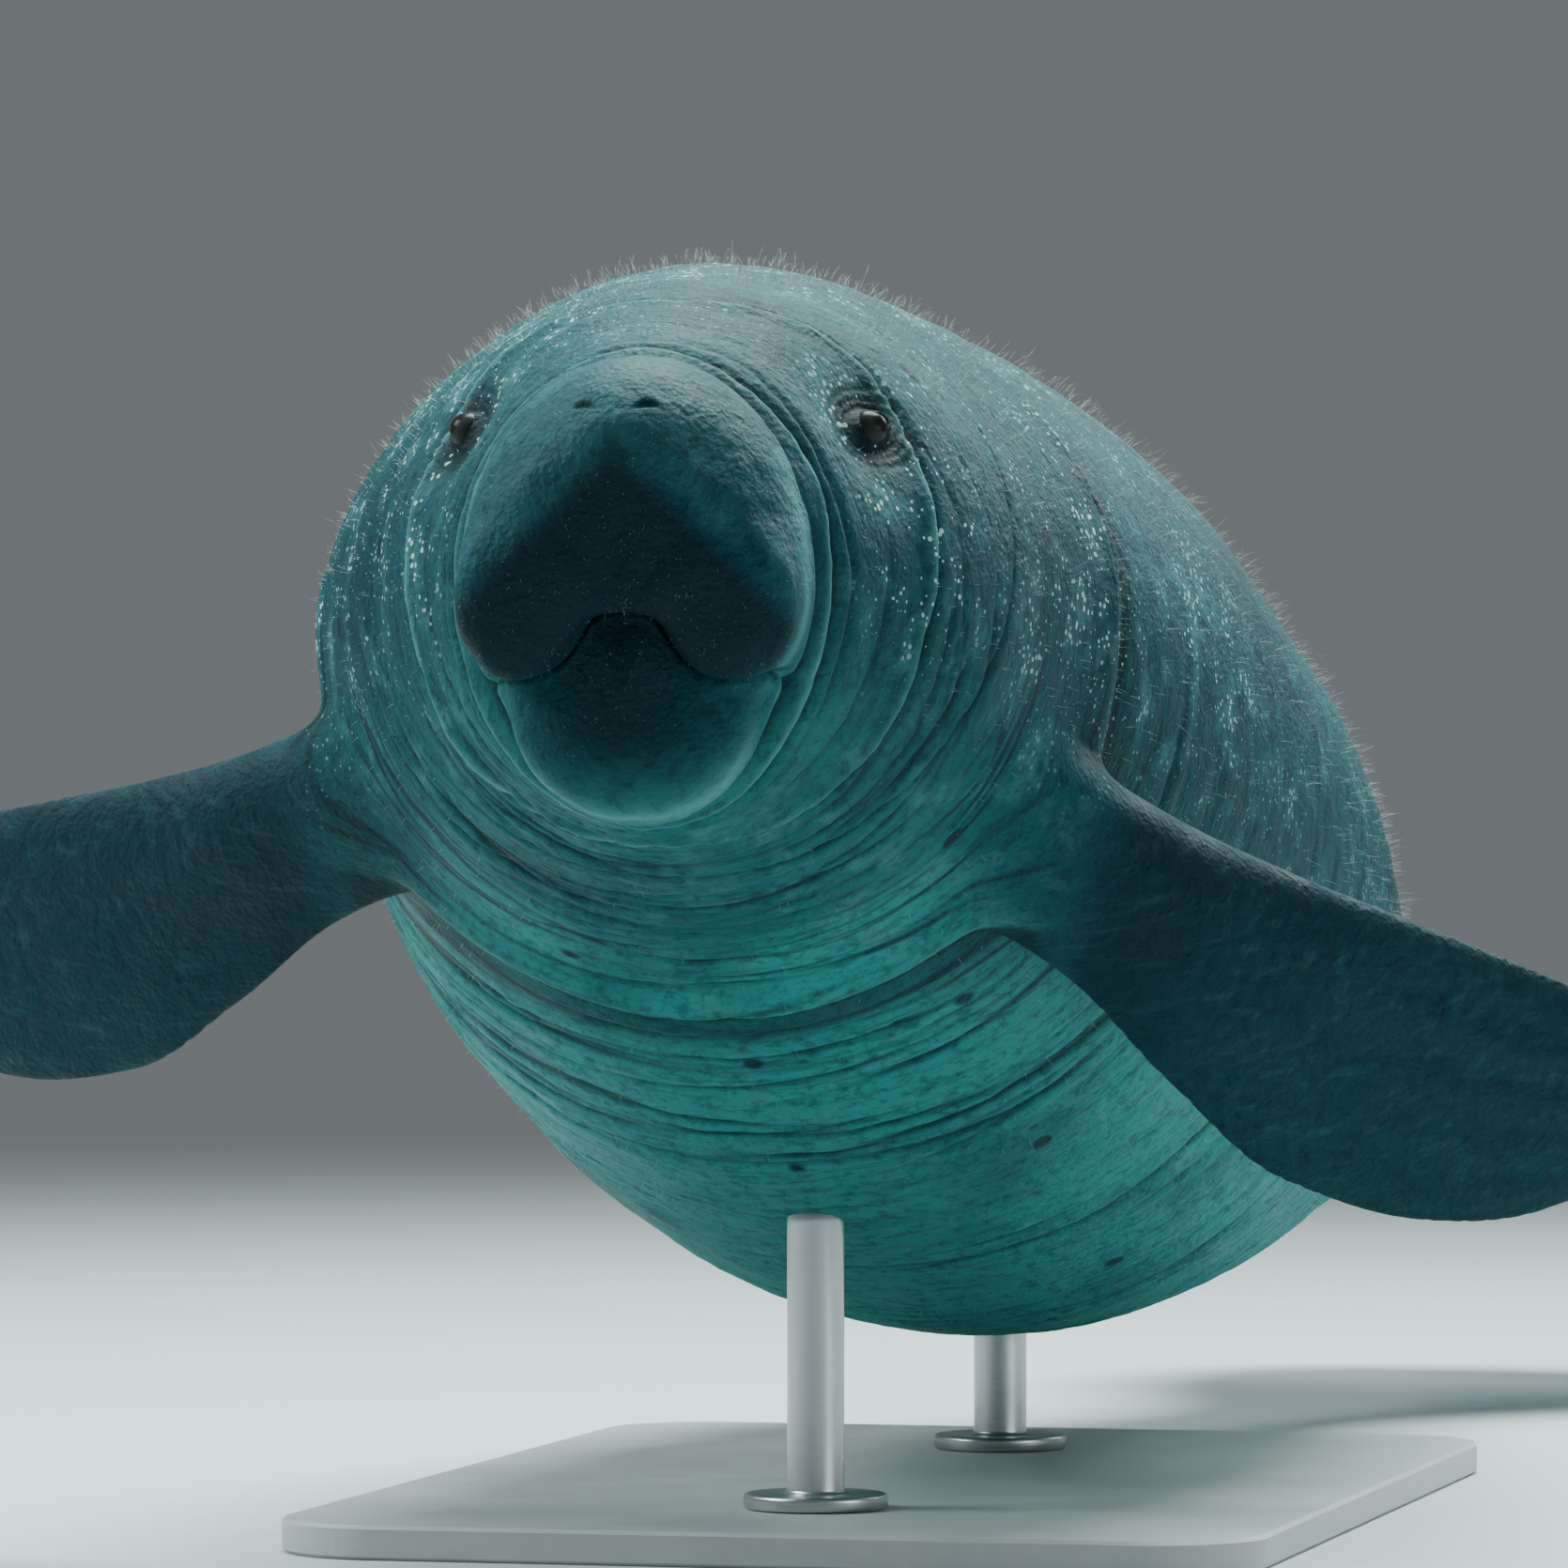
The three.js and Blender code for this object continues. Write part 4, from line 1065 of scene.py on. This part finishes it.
class Graph:
    """A node tree that is written as a list of nodes with their inputs."""

    def __init__(self, name):
        self.material = bpy.data.materials.new(name)
        self.material.use_nodes = True
        self.tree = self.material.node_tree
        self.shader = self.tree.nodes["Principled BSDF"]

    def node(self, kind, settings=None, **inputs):
        made = self.tree.nodes.new(kind)
        for key, value in (settings or {}).items():
            setattr(made, key, value)
        for key, value in inputs.items():
            self.feed(made.inputs[key.replace("_", " ")], value)
        return made

    def feed(self, socket, value):
        if isinstance(value, bpy.types.NodeSocket):
            self.tree.links.new(value, socket)
        elif isinstance(value, bpy.types.Node):
            self.tree.links.new(value.outputs[0], socket)
        else:
            socket.default_value = value

    def set(self, **inputs):
        for key, value in inputs.items():
            self.feed(self.shader.inputs[key.replace("_", " ")], value)

    def attribute(self, name, output="Fac"):
        return self.node("ShaderNodeAttribute", {"attribute_name": name}).outputs[output]

    def place(self):
        return self.node("ShaderNodeTexCoord").outputs["Object"]

    def math(self, operation, a, b):
        made = self.node("ShaderNodeMath", {"operation": operation})
        self.feed(made.inputs[0], a)
        self.feed(made.inputs[1], b)
        return made.outputs[0]

    def times(self, a, b):
        return self.math("MULTIPLY", a, b)

    def range(self, value, low, high, to_low=0.0, to_high=1.0):
        made = self.node("ShaderNodeMapRange", {"interpolation_type": "SMOOTHSTEP"})
        for socket, given in zip(made.inputs, (value, low, high, to_low, to_high)):
            self.feed(socket, given)
        return made.outputs[0]

    def mix(self, share, a, b):
        made = self.node("ShaderNodeMix", {"data_type": "RGBA"})
        self.feed(made.inputs[0], share)
        for socket, value in ((made.inputs[6], a), (made.inputs[7], b)):
            self.feed(socket, (*value, 1.0) if isinstance(value, tuple) and len(value) == 3 else value)
        return made.outputs[2]

    def stretched(self, vector, scale):
        return self.node("ShaderNodeMapping", Vector=vector, Scale=scale).outputs[0]

    def noise(self, vector, scale, detail=4.0, rough=0.55):
        made = self.node("ShaderNodeTexNoise", Vector=vector, Scale=scale, Detail=detail, Roughness=rough)
        return made.outputs["Fac"]

    def cells(self, vector, scale):
        return self.node("ShaderNodeTexVoronoi", Vector=vector, Scale=scale).outputs["Distance"]

    def bump(self, height, distance, strength=1.0, under=None):
        made = self.node("ShaderNodeBump", Height=height, Distance=distance, Strength=strength)
        if under is not None:
            self.feed(made.inputs["Normal"], under)
        return made.outputs["Normal"]


BACK_COLOUR = (0.010, 0.076, 0.083)
FLANK_COLOUR = (0.002, 0.058, 0.070)
THROAT_COLOUR = (0.002, 0.108, 0.110)
# The belly's pale teal: partly the hide's own colour, partly painted light bounced up from below
BELLY_COLOUR = (0.014, 0.250, 0.236)
# The flippers' dark navy: partly their own darker hide, partly painted shade
LIMB_COLOUR = (0.001, 0.018, 0.028)
# Near black for random shade, mottle, skin lines and pits, and for painted shade in creases, round the eyes,
# on the face and chin, in the nostrils and behind the head
DEEP_COLOUR = (0.001, 0.012, 0.019)
PALE_COLOUR = (0.080, 0.235, 0.240)
# Colour of the painted highlights on fold crests and on the rims of the chin and muzzle
PAINTED_HIGHLIGHT_COLOUR = (0.130, 0.380, 0.350)
SPECK_COLOUR = (0.500, 0.700, 0.660)
BLACK = (0.0, 0.0, 0.0)

# How finely each pattern of the hide is drawn, in repeats in a metre
HIDE_SCALES = {
    "zones": 6, "broad": 7, "pits": 15, "patches": 34, "mottle": 130,
    "leather": 160, "specks": 210, "pebbles": 300, "fine": 700,
}
# The same along the spine, sideways and up, where a pattern is drawn out into lines
RING_SCALES = (150, 14, 14)
STREAK_HIGHLIGHT_SCALES = (160, 12, 120)
LINE_SCALES = (420, 60, 60)
# Depth in metres and strength of each layer of the hide's relief
RELIEF = {"lines": (0.0026, 0.65), "leather": (0.0028, 0.70), "pebbles": (0.0012, 0.5), "fine": (0.0006, 0.5)}
# How much of each tint shows at most
SHARES = {
    "patches": 0.55, "patches before specks": 0.35, "painted_streak_highlights": 0.13, "limb": 0.90, "shade": 0.40,
    "mottle": 0.50, "rings": 0.28, "crease": 0.80, "painted_highlight": 0.70, "specks": 0.80, "pits": 0.85,
}


def skin_material():
    g = Graph("manatee_hide")
    hide = g.attribute("hide", "Vector")
    limb, back, grain, speckled = (g.attribute(name) for name in ("limb", "back", "grain", "speckled"))

    def noise(name, detail=5, rough=0.6):
        return g.noise(hide, HIDE_SCALES[name], detail, rough)

    def lines(scales, detail=4, rough=0.6):
        return g.noise(g.stretched(hide, scales), 1, detail, rough)

    def cells(name):
        return g.cells(hide, HIDE_SCALES[name])

    broad, patches, mottle = noise("broad"), noise("patches"), noise("mottle", 4, 0.65)
    height = g.math("ADD", back, g.times(g.math("SUBTRACT", broad, 0.5), 0.9))
    # Colour by height round the body; the belly's pale teal is partly painted light bounced up from below
    under = g.mix(g.attribute("throat"), BELLY_COLOUR, THROAT_COLOUR)
    colour = g.mix(g.range(height, -0.70, -0.10), under, FLANK_COLOUR)
    colour = g.mix(g.range(height, 0.05, 0.85), colour, BACK_COLOUR)
    mottled = g.range(patches, 0.45, 0.72, 0, SHARES["patches"])
    mottled = g.times(mottled, g.range(speckled, 0, 1, SHARES["patches before specks"], 1))
    colour = g.mix(mottled, colour, PALE_COLOUR)
    # Pale streaks along the flippers are painted highlights of lit wrinkles
    painted_streak_highlights = g.range(lines(STREAK_HIGHLIGHT_SCALES), 0.50, 0.76, 0, SHARES["painted_streak_highlights"])
    colour = g.mix(g.times(limb, SHARES["limb"]), colour, g.mix(painted_streak_highlights, LIMB_COLOUR, PALE_COLOUR))
    # Darker tints: random broad shade and mottle, skin lines, painted shade in the creases of folds and
    # wrinkles, and painted shade round the eyes, on the face and chin, in the nostrils and behind the head
    shades = (
        g.range(broad, 0.50, 0.30, 0, SHARES["shade"]),
        g.range(mottle, 0.55, 0.30, 0, SHARES["mottle"]),
        g.times(g.range(lines(RING_SCALES, 5), 0.50, 0.32), g.times(grain, SHARES["rings"])),
        g.range(g.attribute("crease"), 0.10, 0.90, 0, SHARES["crease"]),
        g.attribute("painted_shade"),
    )
    for shade in shades:
        colour = g.mix(shade, colour, DEEP_COLOUR)
    # Painted highlights on the crests of folds and along the rims of the chin and of the muzzle's sides
    colour = g.mix(g.times(g.attribute("painted_highlight"), SHARES["painted_highlight"]), colour, PAINTED_HIGHLIGHT_COLOUR)
    specks = g.math("LESS_THAN", cells("specks"), g.range(patches, 0.38, 0.72, 0.08, 0.34))
    zones = g.times(g.range(noise("zones", 2, 0.55), 0.32, 0.54), g.range(back, -0.60, 0.10))
    specks = g.times(specks, g.times(zones, speckled))
    colour = g.mix(g.times(specks, SHARES["specks"]), colour, SPECK_COLOUR)
    pits = g.times(g.range(cells("pits"), 0.120, 0.075), g.times(grain, SHARES["pits"]))
    colour = g.mix(pits, colour, DEEP_COLOUR)
    g.set(Base_Color=colour, Roughness=g.range(patches, 0.3, 0.7, 0.48, 0.70))
    g.shader.inputs["Specular IOR Level"].default_value = 0.12
    heights = {
        "lines": g.times(lines(LINE_SCALES, rough=0.65), grain),
        "leather": noise("leather", rough=0.65),
        "pebbles": cells("pebbles"),
        "fine": noise("fine", 3),
    }
    normal = None
    for name, height in heights.items():
        normal = g.bump(height, *RELIEF[name], normal)
    g.set(Normal=normal)
    return g.material


def hair_material():
    g = Graph("pale_hair")
    place = g.place()
    tone = g.noise(place, 60, 2)
    g.set(Base_Color=g.mix(tone, (0.20, 0.27, 0.25), (0.52, 0.60, 0.55)), Roughness=0.45)
    return g.material


def eye_material():
    g = Graph("wet_eye")
    g.set(Base_Color=g.attribute("iris", "Color"), Roughness=0.24)
    g.shader.inputs["Specular IOR Level"].default_value = 0.05
    return g.material


def nail_material():
    g = Graph("nail_horn")
    place = g.place()
    grain = g.noise(g.stretched(place, (300, 300, 90)), 1, 4)
    g.set(Base_Color=g.mix(grain, (0.07, 0.075, 0.070), (0.17, 0.17, 0.15)), Roughness=0.42)
    g.set(Normal=g.bump(grain, 0.0006, 0.6))
    return g.material


def paint_material():
    g = Graph("stand_paint")
    place = g.place()
    orange_peel = g.noise(place, 420, 2)
    dust = g.noise(place, 9, 6, 0.65)
    g.set(Base_Color=g.mix(g.range(dust, 0.35, 0.75), (0.40, 0.42, 0.42), (0.47, 0.49, 0.48)))
    g.set(Roughness=g.range(dust, 0.3, 0.7, 0.42, 0.58), Normal=g.bump(orange_peel, 0.0004, 0.35))
    return g.material


def steel_material():
    g = Graph("stand_steel")
    place = g.place()
    brushed = g.noise(g.stretched(place, (60, 60, 1400)), 1, 3)
    g.shader.inputs["Metallic"].default_value = 1
    g.set(Base_Color=g.mix(brushed, (0.42, 0.43, 0.44), (0.60, 0.61, 0.62)))
    g.set(Roughness=g.range(brushed, 0.3, 0.7, 0.28, 0.42), Normal=g.bump(brushed, 0.0003, 0.25))
    return g.material


FLOOR_COLOUR = (0.52, 0.55, 0.56)
WORLD_COLOUR = (0.60, 0.66, 0.69)
WORLD_STRENGTH = 0.26
FLOOR_FADES = (1.8, 5.5)
FLOOR_UNEVEN = 1.05


def floor_material():
    """Pale floor that takes on the background's light far from the model."""
    g = Graph("studio_floor")
    place = g.place()
    away = g.node("ShaderNodeVectorMath", {"operation": "LENGTH"})
    g.feed(away.inputs[0], place)
    far = g.range(away.outputs["Value"], *FLOOR_FADES)
    near = g.mix(g.noise(place, 2.0, 3.0), FLOOR_COLOUR, tuple(c * FLOOR_UNEVEN for c in FLOOR_COLOUR))
    g.set(Base_Color=g.mix(far, near, BLACK), Roughness=0.85)
    g.shader.inputs["Specular IOR Level"].default_value = 0.0
    g.set(Emission_Color=(*WORLD_COLOUR, 1.0), Emission_Strength=g.times(far, WORLD_STRENGTH))
    return g.material


# Eyes

IRIS_RADIUS = 0.0060
PUPIL_RADIUS = 0.0030
EYE_ROWS, EYE_SIDES = 49, 64
EYE_POLE = 0.02
EYE_LOOKS_FORWARD = 0.25
# The cornea stands out from the ball, which lies this far inside its solid
EYE_INSET = 0.0003
CORNEA = {"height": 0.0006, "half": 0.6}
PUPIL_COLOUR = (0.004, 0.004, 0.005)
IRIS_COLOUR = (0.020, 0.017, 0.013)
WHITE_COLOUR = (0.030, 0.034, 0.034)
IRIS_SPOKES = 23


def make_eye(name):
    """An eyeball whose front swells over a painted iris and pupil."""
    turn = EYE_TURNS[name]
    _, back, side, up = frame_at(EYE_AT)
    _, _, out_x, out_z = oval_at(EYE_AT, turn)
    gaze = unit(side * out_x + up * out_z - back * EYE_LOOKS_FORWARD)
    across = unit(np.cross(gaze, back))
    round_eye = turns(EYE_SIDES)
    ring = np.cos(round_eye)[:, None] * across + np.sin(round_eye)[:, None] * np.cross(gaze, across)
    angles = np.linspace(EYE_POLE, math.pi - EYE_POLE, EYE_ROWS)
    rows = []
    for angle in angles:
        radius = EYE_RADIUS - EYE_INSET + CORNEA["height"] * bell(angle / CORNEA["half"])
        rows.append(eye_centre(name) + SHIFT + radius * (math.cos(angle) * gaze + math.sin(angle) * ring))
    eye = mesh_over_rows(f"{name}_ball", rows)
    out = np.where(angles < math.pi / 2, np.sin(angles), 1) * EYE_RADIUS
    out = np.concatenate([np.repeat(out, EYE_SIDES), [0, EYE_RADIUS]])[:, None]
    spokes = np.concatenate([np.tile(round_eye, EYE_ROWS), [0, 0]])[:, None]
    colour = np.array(IRIS_COLOUR) * (0.75 + 0.25 * np.sin(IRIS_SPOKES * spokes))
    colour = PUPIL_COLOUR + (colour - PUPIL_COLOUR) * smoothstep(out / PUPIL_RADIUS, 0.90, 1.15)
    colour = colour + (WHITE_COLOUR - colour) * smoothstep(out / IRIS_RADIUS, 0.92, 1.12)
    colour = np.concatenate([colour, np.ones((len(colour), 1))], 1)
    attribute = eye.data.color_attributes.new("iris", "FLOAT_COLOR", "POINT")
    attribute.data.foreach_set("color", colour.astype(np.float32).ravel())
    eye.data.materials.append(EYE_FINISH)
    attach(eye, "root")
    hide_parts(name)


def finish_solids():
    """Gives each carried-over solid its material."""
    finishes = {"stand": paint_material(), "nail": nail_material()}
    for name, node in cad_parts.items():
        if name == "stand_base" or name.startswith("nail_"):
            node.data.materials.clear()
            node.data.materials.append(finishes[name.split("_")[0]])


# Stand

ROD_RADIUS = 0.015
ROD_BURIED = 0.012
COLLAR_RADIUS = 0.038
COLLAR_HEIGHT = 0.008
SOFT_EDGE = 0.0012
ROD_SIDES = 96
FILLET = 0.0024
FILLET_STEPS = 9


def make_rod(name):
    """A turned rod on a low collar, running a little way into the belly."""
    low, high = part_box(name)
    height = high.z - low.z + ROD_BURIED
    bend = np.linspace(0, math.pi / 2, FILLET_STEPS)
    over, under = FILLET * (1 - np.cos(bend)), FILLET * (1 - np.sin(bend))
    profile = [
        (COLLAR_RADIUS - SOFT_EDGE, 0.0),
        (COLLAR_RADIUS, SOFT_EDGE),
        *zip(COLLAR_RADIUS - over, COLLAR_HEIGHT - under),
        *zip(ROD_RADIUS + under, COLLAR_HEIGHT + over),
        *((ROD_RADIUS, share * height) for share in (0.3, 0.6, 0.9, 1.0)),
    ]
    turn = turns(ROD_SIDES)
    foot = np.array([(low.x + high.x) / 2, (low.y + high.y) / 2, low.z])
    rows = [
        foot + np.stack([radius * np.cos(turn), radius * np.sin(turn), np.full(ROD_SIDES, z)], 1)
        for radius, z in profile
    ]
    rod = mesh_over_rows(f"{name}_steel", rows)
    rod.data.materials.append(STEEL)
    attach(rod, "root")
    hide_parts(name)


# Studio

COOL_WHITE = (0.86, 1.0, 1.0)
CAMERA_FROM_NOSE = Vector((0.0789, -4.0, -0.0951))
FOCAL_LENGTH = 202.1
SENSOR_WIDTH = 36.0
FLOOR_REACH = 400.0
# Soft square lights: place, what each is aimed at, size and power in watts
BODY_AIM = (0, -0.4, 0.4)
LIGHTS = {
    "overhead": ((0.3, 0.4, 3.0), BODY_AIM, (1.8, 1.8), 260),
    "rim": ((2.4, 2.2, 2.4), BODY_AIM, (1.4, 1.4), 85),
    "left rim": ((-2.4, -0.5, 2.2), BODY_AIM, (1.2, 1.2), 110),
    "low fill": ((3.0, -2.4, 0.9), (0.1, -0.3, 0.2), (1.6, 0.8), 30),
}


def make_camera():
    camera = bpy.data.cameras.new("camera")
    camera.sensor_width = SENSOR_WIDTH
    camera.lens = FOCAL_LENGTH
    camera.clip_end = 100.0
    thing = bpy.data.objects.new("camera", camera)
    thing.location = Vector(SHIFT) + CAMERA_FROM_NOSE
    thing.rotation_euler = (math.pi / 2, 0, 0)
    bpy.context.scene.collection.objects.link(thing)
    bpy.context.scene.camera = thing


def make_light(name, place, target, size, power):
    light = bpy.data.lights.new(name, "AREA")
    light.shape = "RECTANGLE"
    light.size, light.size_y = size
    light.energy = power
    light.color = COOL_WHITE
    thing = bpy.data.objects.new(name, light)
    thing.location = place
    thing.rotation_euler = (Vector(target) - Vector(place)).to_track_quat("-Z", "Y").to_euler()
    bpy.context.scene.collection.objects.link(thing)


def make_studio():
    corners = ((-1, -1, 0), (1, -1, 0), (1, 1, 0), (-1, 1, 0))
    points = FLOOR_REACH * np.array(corners, float)
    floor = new_mesh("floor", points, np.array([[0, 1, 2, 3]]), np.empty((0, 3), int))
    floor.data.materials.append(floor_material())
    world = bpy.data.worlds.new("studio")
    world.use_nodes = True
    background = world.node_tree.nodes["Background"]
    background.inputs["Color"].default_value = (*WORLD_COLOUR, 1)
    background.inputs["Strength"].default_value = WORLD_STRENGTH
    bpy.context.scene.world = world
    for name, values in LIGHTS.items():
        make_light(name, *values)


EYE_FINISH = eye_material()
STEEL = steel_material()
make_camera()
make_studio()
finish_solids()
make_skin()
make_hairs()
make_eye("eye_left")
make_eye("eye_right")
make_rod("stand_rod_front")
make_rod("stand_rod_rear")
